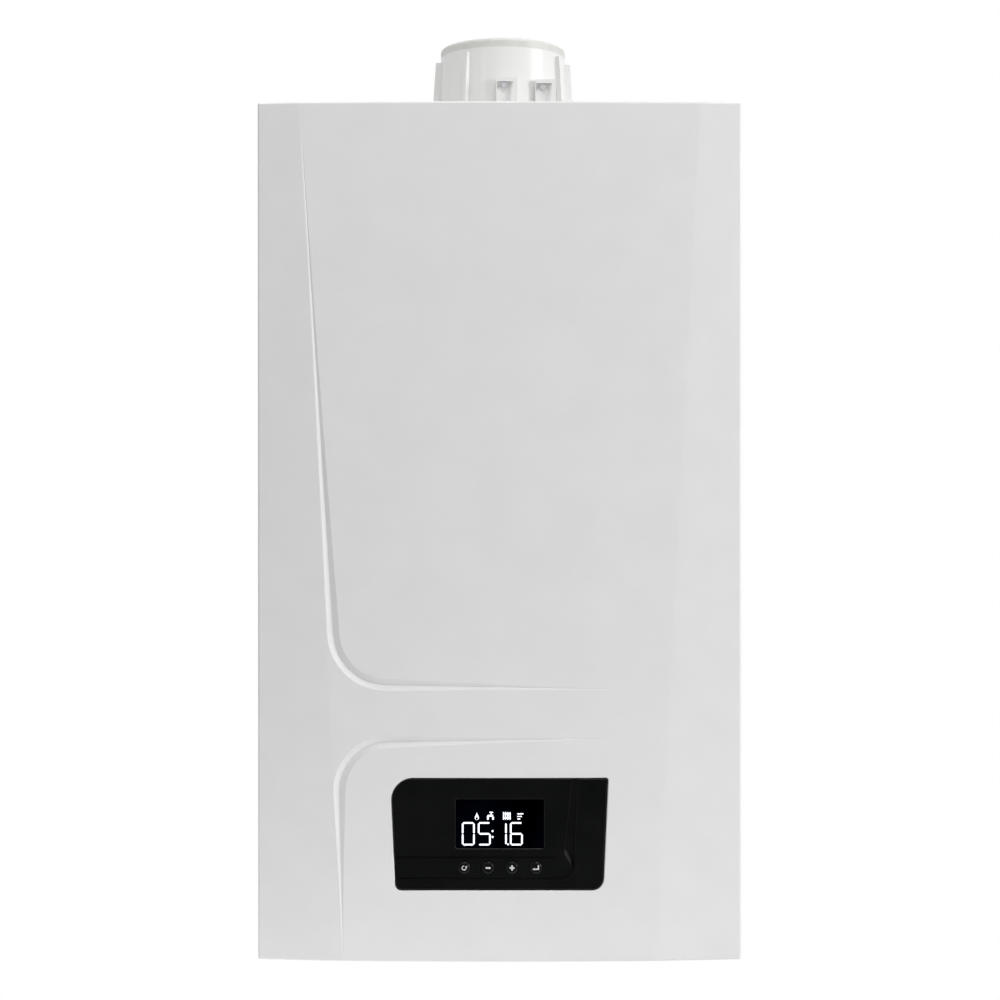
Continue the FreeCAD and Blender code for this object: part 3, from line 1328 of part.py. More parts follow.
def make_condensate_sump():
    x0 = HX_LEFT + SUMP_INSET
    x1 = HX_RIGHT - SUMP_INSET
    outer = box(x0, x1, SUMP_FRONT, SUMP_REAR, SUMP_BOTTOM, SUMP_TOP)
    socket_r = FLUE_R + DUCT_FIT + SUMP_SOCKET_WALL
    wing_low = SUMP_TOP + SUMP_SOCKET_WALL - SUMP_SOCKET_DEPTH - SUMP_WING_H
    wing_h = SUMP_TOP + SUMP_SOCKET_WALL - wing_low
    cup = rod(socket_r, V(DUCT_X, FLUE_AXIS_Y, wing_low), UP, wing_h)
    neck_half = SUMP_NECK_W / 2
    neck_top = SUMP_TOP - SUMP_SOCKET_DEPTH
    neck = box(DUCT_X, x0, FLUE_AXIS_Y - neck_half, FLUE_AXIS_Y + neck_half, wing_low, neck_top)
    spigot = rod(SUMP_SPIGOT_R, V(TRAP_X, TRAP_Y, SUMP_BOTTOM - SUMP_SPIGOT_L), UP, SUMP_SPIGOT_L)
    body = outer.fuse([cup, neck, spigot])
    y0 = SUMP_FRONT + SUMP_WALL
    y1 = SUMP_REAR - SUMP_WALL
    hollow = box(x0 + SUMP_WALL, x1 - SUMP_WALL, y0, y1, SUMP_BOTTOM + SUMP_WALL, SUMP_TOP + OVERRUN)
    seat = wing_low + SUMP_WING_H
    bore = rod(FLUE_R + DUCT_FIT, V(DUCT_X, FLUE_AXIS_Y, seat), UP, SUMP_SOCKET_DEPTH + OVERRUN)
    well_r = FLUE_R - DUCT_WALL
    well = rod(well_r, V(DUCT_X, FLUE_AXIS_Y, wing_low + SUMP_WALL), UP, SUMP_WING_H)
    way_half = neck_half - SUMP_WALL
    way_x = x0 + SUMP_WALL + OVERRUN
    way_low = wing_low + SUMP_WALL
    way_top = neck_top - SUMP_WALL
    way = box(DUCT_X, way_x, FLUE_AXIS_Y - way_half, FLUE_AXIS_Y + way_half, way_low, way_top)
    drain_start = V(TRAP_X, TRAP_Y, SUMP_BOTTOM - SUMP_SPIGOT_L - OVERRUN)
    drain = rod(SUMP_SPIGOT_R - SUMP_SPIGOT_WALL, drain_start, UP, SUMP_SPIGOT_L + SUMP_WALL + 2 * OVERRUN)
    return body.cut([hollow, bore, well, way, drain]).removeSplitter()


def make_condensate_trap():
    at = V(TRAP_X, TRAP_Y, TRAP_BOTTOM)
    neck = SUMP_SPIGOT_R + TRAP_FIT
    inner = TRAP_R - TRAP_WALL
    outlet = DRAIN_BODY_R - DRAIN_WALL
    shoulder = TRAP_H - SUMP_SPIGOT_L
    profile = [(outlet, 0), (TRAP_R, 0), (TRAP_R, TRAP_H), (neck, TRAP_H), (neck, shoulder)]
    profile += [(inner, shoulder), (inner, TRAP_WALL), (outlet, TRAP_WALL)]
    return turned(profile, at, UP)


def make_condensate_drain():
    end = BOTTOM - DRAIN_END
    at = V(TRAP_X, TRAP_Y, end)
    length = TRAP_BOTTOM - end
    bore = DRAIN_BODY_R - DRAIN_WALL
    profile = [(bore, 0), (DRAIN_R, 0), (DRAIN_R, DRAIN_SPIGOT_L), (DRAIN_BODY_R, DRAIN_SPIGOT_L)]
    profile += [(DRAIN_BODY_R, length), (bore, length)]
    return turned(profile, at, UP)


# Fan, venturi and gas

def make_fan_housing():
    axis = V(FAN_X, FAN_FRONT, FAN_Z)
    body = rod(FAN_R, axis, WALLWARD, FAN_T).fuse(fan_outlet(0, HX_RIGHT, FAN_X))
    inner_t = FAN_T - 2 * FAN_WALL
    chamber = rod(FAN_R - FAN_WALL, axis + WALLWARD * FAN_WALL, WALLWARD, inner_t)
    outlet = fan_outlet(FAN_WALL, HX_RIGHT - OVERRUN, FAN_X)
    eye = rod(FAN_EYE_R, axis - WALLWARD * OVERRUN, WALLWARD, FAN_WALL + 2 * OVERRUN)
    rear = V(FAN_X, FAN_REAR - FAN_WALL - OVERRUN, FAN_Z)
    shaft = rod(SHAFT_R + SHAFT_HOLE_CLEAR, rear, WALLWARD, FAN_WALL + 2 * OVERRUN)
    return body.cut([chamber, outlet, eye, shaft]).removeSplitter()


def make_fan_motor():
    body = rod(FAN_MOTOR_R, V(FAN_X, FAN_REAR, FAN_Z), WALLWARD, FAN_MOTOR_L)
    edge = [e for e in body.Edges if e.BoundBox.YMin > FAN_REAR + FAN_MOTOR_L / 2 and e.Closed]
    body = body.makeFillet(FAN_WALL, edge)
    length = FAN_T - FAN_WALL - FAN_WHEEL_GAP
    return body.fuse(rod(SHAFT_R, V(FAN_X, FAN_REAR, FAN_Z), -WALLWARD, length))


def make_fan_impeller():
    front = FAN_FRONT + FAN_WALL + FAN_WHEEL_GAP
    rear = FAN_REAR - FAN_WALL - FAN_WHEEL_GAP
    at = V(FAN_X, front, FAN_Z)
    length = rear - front
    disc = rod(FAN_WHEEL_R, V(FAN_X, rear - FAN_DISC_T, FAN_Z), WALLWARD, FAN_DISC_T)
    ring = tube(FAN_WHEEL_R, FAN_WHEEL_R - FAN_BLADE_IN_R, at, WALLWARD, FAN_DISC_T)
    joined = [ring, rod(FAN_HUB_R, at, WALLWARD, length)]
    half = FAN_BLADE_T / 2
    blade = box(FAN_X + FAN_BLADE_IN_R, FAN_X + FAN_WHEEL_R - half, front, rear, FAN_Z - half, FAN_Z + half)
    for i in range(FAN_BLADE_COUNT):
        turned_blade = blade.copy()
        turned_blade.rotate(V(FAN_X, 0, FAN_Z), WALLWARD, i * FULL_TURN / FAN_BLADE_COUNT)
        joined.append(turned_blade)
    bore = rod(SHAFT_R + SHAFT_CLEAR, at - WALLWARD * OVERRUN, WALLWARD, length + 2 * OVERRUN)
    return disc.fuse(joined).cut(bore).removeSplitter()


def make_venturi():
    at = V(FAN_X, VENTURI_FRONT, FAN_Z)
    body = rod(VENTURI_R, at, WALLWARD, VENTURI_L)
    rise = math.sqrt(VENTURI_R ** 2 - SILENCER_R ** 2)
    top = rod(SILENCER_R, V(FAN_X, VENTURI_Y, FAN_Z), UP, VENTURI_R)
    foot = rod(INJECTOR_R, V(FAN_X, VENTURI_Y, FAN_Z), -UP, VENTURI_R)
    body = body.fuse([top, foot])
    bore = rod(FAN_EYE_R, at + WALLWARD * VENTURI_WALL, WALLWARD, VENTURI_L)
    air = rod(SILENCER_R - SILENCER_WALL, V(FAN_X, VENTURI_Y, FAN_Z + rise / 2), UP, VENTURI_R)
    gas_start = V(FAN_X, VENTURI_Y, FAN_Z - VENTURI_R - OVERRUN)
    gas = rod(INJECTOR_R - INJECTOR_WALL, gas_start, UP, VENTURI_R)
    return body.cut([bore, air, gas]).removeSplitter()


def make_air_silencer():
    at = V(FAN_X, VENTURI_Y, FAN_Z + VENTURI_R)
    inner = SILENCER_R - SILENCER_WALL
    bell = SILENCER_L - SILENCER_BELL_L
    bell_inner = SILENCER_BELL_R - SILENCER_WALL
    profile = [(inner, 0), (SILENCER_R, 0), (SILENCER_R, bell), (SILENCER_BELL_R, SILENCER_L)]
    profile += [(bell_inner, SILENCER_L), (inner, bell)]
    return turned(profile, at, UP)


def make_gas_valve():
    half = GAS_VALVE_W / 2
    y0 = CONN_Y - GAS_VALVE_D / 2
    y1 = HX_REAR - RAIL_GAP
    body = box(GAS_X - half, GAS_X + half, y0, y1, GAS_VALVE_BOTTOM, GAS_VALVE_TOP)
    upright = [edge for edge in body.Edges if edge.BoundBox.YLength > BLOCK_EDGE_R]
    body = body.makeFillet(BLOCK_EDGE_R, upright)
    joined = []
    for side in (-1, 1):
        start = V(GAS_X + side * half / 2, y0, GAS_VALVE_BOTTOM + GAS_VALVE_H / 2)
        joined.append(rod(GAS_COIL_R, start, -WALLWARD, GAS_COIL_L))
    body = body.fuse(joined)
    inlet = rod(GAS_PIPE_R - GAS_PIPE_WALL, V(GAS_X, CONN_Y, GAS_VALVE_BOTTOM - OVERRUN), UP, GAS_VALVE_H / 2)
    outlet_start = V(FAN_X, CONN_Y, GAS_VALVE_TOP + OVERRUN)
    outlet = rod(INJECTOR_R - INJECTOR_WALL, outlet_start, -UP, GAS_VALVE_H / 2)
    return body.cut([inlet, outlet]).removeSplitter()


def make_gas_injector_pipe():
    knee = GAS_VALVE_TOP + INJECTOR_RISE
    points = [V(FAN_X, CONN_Y, GAS_VALVE_TOP), V(FAN_X, CONN_Y, knee)]
    points += [V(FAN_X, VENTURI_Y, knee), V(FAN_X, VENTURI_Y, FAN_Z - VENTURI_R)]
    return bent_tube(points, INJECTOR_BEND_R, INJECTOR_R, INJECTOR_WALL)


def make_gas_pipe():
    end = BOTTOM - TAIL_END
    length = GAS_VALVE_BOTTOM - end
    bore = GAS_SPIGOT_R - GAS_PIPE_WALL
    profile = [(bore, 0), (GAS_SPIGOT_R, 0), (GAS_SPIGOT_R, TAIL_SPIGOT_L), (GAS_PIPE_R, TAIL_SPIGOT_L)]
    profile += [(GAS_PIPE_R, length), (bore, length)]
    return turned(profile, V(GAS_X, CONN_Y, end), UP)


# Water side

def make_block(x_a, x_b, ports_up):
    """Moulded hydraulic block over two tails, on legs that stand on the bottom panel."""
    x0 = x_a - BLOCK_END
    x1 = x_b + BLOCK_END
    body = rounded_block(x0, x1, BLOCK_FRONT, BLOCK_REAR, BLOCK_BOTTOM, BLOCK_TOP, BLOCK_EDGE_R)
    joined = []
    for x in (x0 + BLOCK_EDGE_R, x1 - BLOCK_EDGE_R - BLOCK_LEG_W):
        joined.append(box(x, x + BLOCK_LEG_W, BLOCK_REAR - BLOCK_LEG_D, BLOCK_REAR, FLOOR, BLOCK_BOTTOM))
    body = body.fuse(joined)
    cuts = []
    for x in (x_a, x_b):
        start = V(x, CONN_Y, BLOCK_BOTTOM - OVERRUN)
        cuts.append(rod(TAIL_SMALL_R - TAIL_WALL, start, UP, BLOCK_BORE_DEPTH))
    for x, radius in ports_up:
        start = V(x, CONN_Y, BLOCK_TOP + OVERRUN)
        cuts.append(rod(radius, start, -UP, BLOCK_BORE_DEPTH))
    middle = (BLOCK_BOTTOM + BLOCK_TOP) / 2
    bore = TAIL_SMALL_R - TAIL_WALL
    cuts.append(rod(bore, V(x_a, CONN_Y, middle), EAST, x_b - x_a))
    return body.cut(cuts).removeSplitter()


def make_tail(x, radius):
    """Connection tail from a hydraulic block down through the bottom panel."""
    end = BOTTOM - TAIL_END
    length = BLOCK_BOTTOM - end
    bore = radius - TAIL_NECK_IN - TAIL_WALL
    neck = radius - TAIL_NECK_IN
    profile = [(bore, 0), (radius, 0), (radius, TAIL_SPIGOT_L), (neck, TAIL_SPIGOT_L), (neck, length)]
    profile += [(bore, length)]
    return turned(profile, V(x, CONN_Y, end), UP)


def make_heating_tails():
    return Part.makeCompound([make_tail(x, TAIL_LARGE_R) for x in (FLOW_X, RETURN_X)])


def make_water_tails():
    return Part.makeCompound([make_tail(x, TAIL_SMALL_R) for x in (HOT_X, COLD_X)])


def make_pipe_grommets():
    """Rubber grommets round the pipes; each clips over the edge of its hole."""
    rings = []
    for x, y, radius in tail_places():
        neck = radius + GROMMET_HOLE_GAP - GROMMET_FIT
        lip = radius + GROMMET_HOLE_GAP + GROMMET_LIP
        bore = radius + GROMMET_FIT
        top = SHEET + GROMMET_LIP_T
        profile = [(bore, -GROMMET_LIP_T), (lip, -GROMMET_LIP_T), (lip, 0), (neck, 0), (neck, SHEET)]
        profile += [(lip, SHEET), (lip, top), (bore, top)]
        rings.append(turned(profile, V(x, y, BOTTOM), UP))
    return Part.makeCompound(rings)


def make_cable_glands():
    glands = []
    for x, y in gland_places():
        turn = FULL_TURN / HEX_SIDES
        corners = []
        for i in range(HEX_SIDES):
            angle = math.radians(i * turn)
            corners.append(V(x + GLAND_HEX_R * math.cos(angle), y + GLAND_HEX_R * math.sin(angle), BOTTOM))
        hexagon = prism(corners, -UP * GLAND_HEX_H)
        shank = rod(GLAND_R, V(x, y, BOTTOM), UP, SHEET + GLAND_L)
        cap = rod(GLAND_R, V(x, y, BOTTOM - GLAND_HEX_H), -UP, GLAND_L)
        low = BOTTOM - GLAND_HEX_H - GLAND_L - OVERRUN
        bore = rod(GLAND_BORE_R, V(x, y, low), UP, FLOOR + GLAND_L + OVERRUN - low)
        glands.append(hexagon.fuse([shank, cap]).cut(bore).removeSplitter())
    return Part.makeCompound(glands)


def make_plate_exchanger():
    half = PLATE_HX_W / 2
    z0 = (BLOCK_BOTTOM + BLOCK_TOP - PLATE_HX_H) / 2
    pitch = (PLATE_HX_D - PLATE_HX_T) / (PLATE_HX_COUNT - 1)
    plates = []
    for i in range(PLATE_HX_COUNT):
        y = BLOCK_REAR + i * pitch
        x0 = PLATE_HX_X - half
        x1 = PLATE_HX_X + half
        plates.append(rounded_block(x0, x1, y, y + PLATE_HX_T, z0, z0 + PLATE_HX_H, PLATE_HX_COLUMN_R))
    for dx in (-half + PLATE_HX_COLUMN_IN, half - PLATE_HX_COLUMN_IN):
        for z in (z0 + PLATE_HX_COLUMN_IN, z0 + PLATE_HX_H - PLATE_HX_COLUMN_IN):
            start = V(PLATE_HX_X + dx, BLOCK_REAR, z)
            plates.append(rod(PLATE_HX_COLUMN_R, start, WALLWARD, PLATE_HX_D))
    stack = plates[0].fuse(plates[1:])
    return stack.removeSplitter()


def make_diverter_actuator():
    x0 = FLOW_X - BLOCK_END / 2
    z0 = (BLOCK_BOTTOM + BLOCK_TOP - ACTUATOR_H) / 2
    y0 = BLOCK_FRONT - ACTUATOR_D
    return rounded_block(x0, x0 + ACTUATOR_W, y0, BLOCK_FRONT, z0, z0 + ACTUATOR_H, ACTUATOR_EDGE_R)


def make_air_vent():
    at = V(HOT_X, CONN_Y, BLOCK_TOP)
    body = rod(VENT_R, at, UP, VENT_H)
    return body.fuse(rod(VENT_CAP_R, at + UP * VENT_H, UP, VENT_CAP_H))


def relief_axis(y):
    """Point on the axis of the relief valve."""
    return V(RELIEF_X, y, (BLOCK_BOTTOM + BLOCK_TOP) / 2)


def make_relief_valve():
    front = BLOCK_FRONT - RELIEF_L
    body = rod(RELIEF_R, relief_axis(BLOCK_FRONT), -WALLWARD, RELIEF_L)
    shaft = rod(RELIEF_SHAFT_R, relief_axis(front), -WALLWARD, RELIEF_SHAFT_L)
    middle = relief_axis(BLOCK_FRONT - RELIEF_L / 2)
    outlet = rod(RELIEF_OUT_R, middle, -UP, RELIEF_OUT_L)
    body = body.fuse([shaft, outlet])
    bore = rod(RELIEF_OUT_R - RELIEF_OUT_WALL, middle, -UP, RELIEF_OUT_L + OVERRUN)
    return body.cut(bore).removeSplitter()


def make_relief_knob():
    front = BLOCK_FRONT - RELIEF_L
    knob = rod(KNOB_R, relief_axis(front), -WALLWARD, KNOB_L)
    shaft_l = RELIEF_SHAFT_L + 2 * OVERRUN
    cuts = [rod(RELIEF_SHAFT_R + SHAFT_CLEAR, relief_axis(front + OVERRUN), -WALLWARD, shaft_l)]
    centre = relief_axis(front + OVERRUN)
    for i in range(KNOB_FLUTES):
        angle = math.radians(i * FULL_TURN / KNOB_FLUTES)
        offset = V(KNOB_R * math.cos(angle), 0, KNOB_R * math.sin(angle))
        cuts.append(rod(KNOB_FLUTE_R, centre + offset, -WALLWARD, KNOB_L + 2 * OVERRUN))
    return knob.cut(cuts).removeSplitter()


def make_pump_body():
    axis = V(RETURN_X, PUMP_FRONT, PUMP_Z)
    volute = rod(PUMP_R, axis, WALLWARD, PUMP_T)
    neck = rod(PUMP_NECK_R, V(RETURN_X, CONN_Y, BLOCK_TOP), UP, PUMP_OUTLET - BLOCK_TOP)
    body = volute.fuse(neck)
    cavity = rod(PUMP_CAVITY_R, axis - WALLWARD * OVERRUN, WALLWARD, PUMP_CAVITY_T + OVERRUN)
    waterway_r = PUMP_NECK_R - PUMP_NECK_WALL
    start = V(RETURN_X, CONN_Y, BLOCK_TOP - OVERRUN)
    waterway = rod(waterway_r, start, UP, PUMP_OUTLET - BLOCK_TOP + 2 * OVERRUN)
    return body.cut([cavity, waterway]).removeSplitter()


def make_pump_motor():
    body = rod(PUMP_MOTOR_R, V(RETURN_X, PUMP_FRONT, PUMP_Z), -WALLWARD, PUMP_MOTOR_L)
    half_w = PUMP_BOX_W / 2
    half_h = PUMP_BOX_H / 2
    y1 = PUMP_FRONT - PUMP_MOTOR_L
    left = RETURN_X - half_w
    right = RETURN_X + half_w
    terminal = box(left, right, y1 - PUMP_BOX_D, y1, PUMP_Z - half_h, PUMP_Z + half_h)
    edges = [edge for edge in terminal.Edges if edge.BoundBox.YLength > PUMP_BOX_D / 2]
    terminal = terminal.makeFillet(BLOCK_EDGE_R, edges)
    length = PUMP_CAVITY_T - PUMP_WHEEL_GAP
    shaft = rod(SHAFT_R, V(RETURN_X, PUMP_FRONT, PUMP_Z), WALLWARD, length)
    return body.fuse([terminal, shaft]).removeSplitter()


def make_pump_impeller():
    front = PUMP_FRONT + PUMP_WHEEL_GAP
    length = PUMP_CAVITY_T - 2 * PUMP_WHEEL_GAP
    at = V(RETURN_X, front, PUMP_Z)
    disc = rod(PUMP_WHEEL_R, at, WALLWARD, PUMP_DISC_T)
    joined = [rod(PUMP_HUB_R, at, WALLWARD, length)]
    half = PUMP_VANE_T / 2
    x0 = RETURN_X + (PUMP_HUB_R + SHAFT_R) / 2
    vane = box(x0, RETURN_X + PUMP_WHEEL_R - half, front, front + length, PUMP_Z - half, PUMP_Z + half)
    for i in range(PUMP_VANES):
        turned_vane = vane.copy()
        turned_vane.rotate(V(RETURN_X, 0, PUMP_Z), WALLWARD, i * FULL_TURN / PUMP_VANES)
        joined.append(turned_vane)
    bore = rod(SHAFT_R + SHAFT_CLEAR, at - WALLWARD * OVERRUN, WALLWARD, length + 2 * OVERRUN)
    return disc.fuse(joined).cut(bore).removeSplitter()


def make_flow_pipe():
    return tube(PIPE_R, PIPE_WALL, V(RISER_X, CONN_Y, BLOCK_TOP), UP, HX_BOTTOM - BLOCK_TOP)


def make_return_pipe():
    points = [V(RETURN_X, CONN_Y, PUMP_OUTLET), V(RETURN_X, CONN_Y, PUMP_OUTLET + RETURN_RUN)]
    points += [V(RETURN_PORT_X, CONN_Y, HX_BOTTOM - RETURN_RUN), V(RETURN_PORT_X, CONN_Y, HX_BOTTOM)]
    return bent_tube(points, RETURN_BEND_R, PIPE_R, PIPE_WALL)


def vessel_block(inset):
    """Flat vessel with round corners and rounded front and rear edges, set in from its faces."""
    half = VESSEL_W / 2 - inset
    z0 = VESSEL_BOTTOM + inset
    z1 = VESSEL_TOP - inset
    y0 = VESSEL_FRONT + inset
    y1 = BACK_IN - inset
    block = rounded_block(-half, half, y0, y1, z0, z1, VESSEL_CORNER_R - inset)
    rims = [edge for edge in block.Edges if edge.BoundBox.YLength < SHEET]
    return block.makeFillet(VESSEL_EDGE_R - inset, rims)


def make_expansion_vessel():
    hole_start = V(HOSE_X, -HOSE_OFF, VESSEL_BOTTOM - OVERRUN)
    hole = rod(HOSE_R - HOSE_WALL, hole_start, UP, VESSEL_EDGE_R)
    return vessel_block(0).cut([vessel_block(VESSEL_WALL), hole])


def make_vessel_hose():
    low = BLOCK_BOTTOM + HOSE_UP
    points = [V(HOSE_X, -HOSE_OFF, VESSEL_BOTTOM), V(HOSE_X, -HOSE_OFF, low)]
    points += [V(HOSE_X, BLOCK_REAR, low)]
    return bent_tube(points, HOSE_BEND_R, HOSE_R, HOSE_WALL)


def all_parts():
    """Every node with its shape."""
    buttons = [make_button(place) for place in button_places()]
    neck_bore = PUMP_NECK_R - PUMP_NECK_WALL
    riser_bore = PIPE_R - PIPE_WALL
    side = make_right_side_panel()
    return {
        "back_frame": make_back_frame(),
        "left_side_panel": mirrored_x(side),
        "right_side_panel": side,
        "top_panel": make_top_panel(),
        "bottom_panel": make_bottom_panel(),
        "casing_screws": make_casing_screws(),
        "front_seal": make_front_seal(),
        "front_cover": make_front_cover(),
        "cover_screws": make_cover_screws(),
        "hinge_brackets": make_hinge_brackets(),
        "control_fascia": make_control_fascia(),
        "display_window": make_display_window(),
        "display_board": make_display_board(),
        "reset_button": buttons[0],
        "minus_button": buttons[1],
        "plus_button": buttons[2],
        "enter_button": buttons[3],
        "control_box": make_control_box(),
        "control_lid": make_control_lid(),
        "control_board": make_control_board(),
        "flue_adaptor": make_flue_adaptor(),
        "flue_test_cap": make_test_cap(FLUE_PORT_X, FLUE_PORT_REACH),
        "air_test_cap": make_test_cap(AIR_PORT_X, AIR_PORT_REACH),
        "air_seal_ring": make_air_seal_ring(),
        "inner_flue_socket": make_inner_flue_socket(),
        "flue_duct": make_flue_duct(),
        "heat_exchanger": make_heat_exchanger(),
        "exchanger_rails": make_exchanger_rails(),
        "burner": make_burner(),
        "burner_hood": make_burner_hood(),
        "ignition_electrode": make_ignition_electrode(),
        "condensate_sump": make_condensate_sump(),
        "condensate_trap": make_condensate_trap(),
        "condensate_drain": make_condensate_drain(),
        "fan_housing": make_fan_housing(),
        "fan_motor": make_fan_motor(),
        "fan_impeller": make_fan_impeller(),
        "venturi": make_venturi(),
        "air_silencer": make_air_silencer(),
        "gas_valve": make_gas_valve(),
        "gas_injector_pipe": make_gas_injector_pipe(),
        "gas_pipe": make_gas_pipe(),
        "diverter_block": make_block(FLOW_X, HOT_X, [(RISER_X, riser_bore)]),
        "return_block": make_block(COLD_X, RETURN_X, [(RETURN_X, neck_bore)]),
        "heating_tails": make_heating_tails(),
        "water_tails": make_water_tails(),
        "pipe_grommets": make_pipe_grommets(),
        "cable_glands": make_cable_glands(),
        "plate_exchanger": make_plate_exchanger(),
        "diverter_actuator": make_diverter_actuator(),
        "air_vent": make_air_vent(),
        "relief_valve": make_relief_valve(),
        "relief_knob": make_relief_knob(),
        "pump_body": make_pump_body(),
        "pump_motor": make_pump_motor(),
        "pump_impeller": make_pump_impeller(),
        "flow_pipe": make_flow_pipe(),
        "return_pipe": make_return_pipe(),
        "expansion_vessel": make_expansion_vessel(),
        "vessel_hose": make_vessel_hose(),
    }


def main():
    os.makedirs("parts", exist_ok=True)
    for name, shape in all_parts().items():
        shape.exportStep("parts/" + name + ".step")
        print(name, "valid" if shape.isValid() else "NOT VALID", len(shape.Solids), round(shape.Volume))


main()
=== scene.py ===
# %% [markdown]
# A wall-hung gas boiler, dressed for a studio picture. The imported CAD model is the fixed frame: it
# holds every panel, pipe and casting at its real place, in metres. X runs to the right, Y into the
# wall and Z up. This lesson gives the frame its real finishes, lights it, and adds the thin
# printed and lit marks that are too fine for CAD.

# %% Load the frame
import json
import math

import bpy
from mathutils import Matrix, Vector


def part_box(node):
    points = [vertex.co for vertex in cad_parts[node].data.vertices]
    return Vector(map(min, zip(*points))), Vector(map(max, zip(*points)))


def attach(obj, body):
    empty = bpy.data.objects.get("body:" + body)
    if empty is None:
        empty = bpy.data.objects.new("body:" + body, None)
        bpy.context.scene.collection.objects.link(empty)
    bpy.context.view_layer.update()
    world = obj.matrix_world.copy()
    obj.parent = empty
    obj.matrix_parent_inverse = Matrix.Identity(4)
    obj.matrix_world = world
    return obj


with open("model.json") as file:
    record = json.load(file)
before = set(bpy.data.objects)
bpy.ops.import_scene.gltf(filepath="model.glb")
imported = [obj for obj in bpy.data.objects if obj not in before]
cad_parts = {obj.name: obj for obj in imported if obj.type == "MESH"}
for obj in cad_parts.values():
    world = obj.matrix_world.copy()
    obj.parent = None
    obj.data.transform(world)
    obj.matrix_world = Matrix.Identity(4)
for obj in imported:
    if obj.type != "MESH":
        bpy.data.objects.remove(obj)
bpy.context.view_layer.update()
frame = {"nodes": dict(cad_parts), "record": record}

MM = 0.001


# %% [markdown]
# The camera stands level with the middle of the case, as it did for the picture, and a long lens
# keeps the sides nearly parallel. It stands a little to the right of the middle, and the lens
# shift puts the boiler back in the frame. Turning the camera would do that too, but then the
# upright edges would lean.

# %% Camera
IMAGE_PX = 1000
FOCAL_PX = 2141.0
SENSOR_MM = 36.0
LENS_SHIFT = (-0.0436, 0.0315)
CAMERA_AT_MM = (36.0, -2025.0, -305.0)
camera_data = bpy.data.cameras.new("studio_camera")
camera_data.sensor_width = SENSOR_MM
camera_data.lens = FOCAL_PX * SENSOR_MM / IMAGE_PX
camera_data.shift_x, camera_data.shift_y = LENS_SHIFT
camera = bpy.data.objects.new("studio_camera", camera_data)
camera.location = [value * MM for value in CAMERA_AT_MM]
camera.rotation_euler = (math.radians(90), 0, 0)
bpy.context.scene.collection.objects.link(camera)
bpy.context.scene.camera = camera
print("lens in mm:", round(camera_data.lens, 2))


# %% [markdown]
# Every material below is a small tree of nodes. One function adds a node with its settings, its
# plain values and its links, and another turns the sRGB hex colours that people write into the
# linear values that the renderer mixes. Every node could be added by hand, but the same three
# patterns come back in most finishes: drift of colour, drift of gloss, and a raised grain. Each is
# one function, and its sizes are in real millimetres.

# %% Node and colour helpers
def linear(hex_colour):
    """A linear RGBA colour from an sRGB hex value such as E6E8EA."""
    parts = [int(hex_colour[i:i + 2], 16) / 255 for i in (0, 2, 4)]
    return [p / 12.92 if p <= 0.04045 else ((p + 0.055) / 1.055) ** 2.4 for p in parts] + [1.0]


def add(tree, kind, values=(), links=(), **settings):
    """A new node with its settings, its plain socket values and its incoming links."""
    node = tree.nodes.new(kind)
    for name, value in settings.items():
        setattr(node, name, value)
    for socket, value in dict(values).items():
        node.inputs[socket].default_value = value
    for socket, source in dict(links).items():
        tree.links.new(source, node.inputs[socket])
    return node


def finish(name, colour, roughness, **sockets):
    """A material with a bare Principled surface; patterns are added to it afterwards."""
    material = bpy.data.materials.new(name)
    material.use_nodes = True
    surface = material.node_tree.nodes["Principled BSDF"]
    surface.inputs["Base Color"].default_value = linear(colour)
    surface.inputs["Roughness"].default_value = roughness
    for socket, value in sockets.items():
        surface.inputs[socket.replace("_", " ")].default_value = value
    return material


def place(material, stretch=(1, 1, 1)):
    """The material's own place on the piece in metres, stretched where a pattern has a direction."""
    tree = material.node_tree
    where = add(tree, "ShaderNodeTexCoord").outputs["Object"]
    return add(tree, "ShaderNodeMapping", {"Scale": stretch}, {"Vector": where}).outputs["Vector"]


def mottle(material, size_mm, dark, light, stretch=(1, 1, 1), detail=3.0, low=0.35, high=0.65):
    """Slow drift of the base colour between two hex colours, in patches of about size_mm."""
    tree = material.node_tree
    surface = tree.nodes["Principled BSDF"]
    noise = add(tree, "ShaderNodeTexNoise", {"Scale": 1000 / size_mm, "Detail": detail},
                {"Vector": place(material, stretch)})
    ramp = add(tree, "ShaderNodeValToRGB", links={"Fac": noise.outputs["Fac"]})
    ramp.color_ramp.elements[0].position = low
    ramp.color_ramp.elements[1].position = high
    ramp.color_ramp.elements[0].color = linear(dark)
    ramp.color_ramp.elements[1].color = linear(light)
    tree.links.new(ramp.outputs["Color"], surface.inputs["Base Color"])


def scuff(material, size_mm, smooth, rough, stretch=(1, 1, 1)):
    """Roughness that drifts from smooth to rough in patches of about size_mm."""
    tree = material.node_tree
    surface = tree.nodes["Principled BSDF"]
    noise = add(tree, "ShaderNodeTexNoise", {"Scale": 1000 / size_mm, "Detail": 4.0},
                {"Vector": place(material, stretch)})
    spread = add(tree, "ShaderNodeMapRange", {"From Min": 0.3, "From Max": 0.7, "To Min": smooth,
                                              "To Max": rough}, {"Value": noise.outputs["Fac"]})
    tree.links.new(spread.outputs["Result"], surface.inputs["Roughness"])


def grain(material, size_mm, depth_mm, detail=2.0):
    """A fine raised grain of about size_mm across and depth_mm high."""
    tree = material.node_tree
    surface = tree.nodes["Principled BSDF"]
    noise = add(tree, "ShaderNodeTexNoise", {"Scale": 1000 / size_mm, "Detail": detail},
                {"Vector": place(material)})
    bump = add(tree, "ShaderNodeBump", {"Strength": 1.0, "Distance": depth_mm * MM},
               {"Height": noise.outputs["Fac"]})
    tree.links.new(bump.outputs["Normal"], surface.inputs["Normal"])


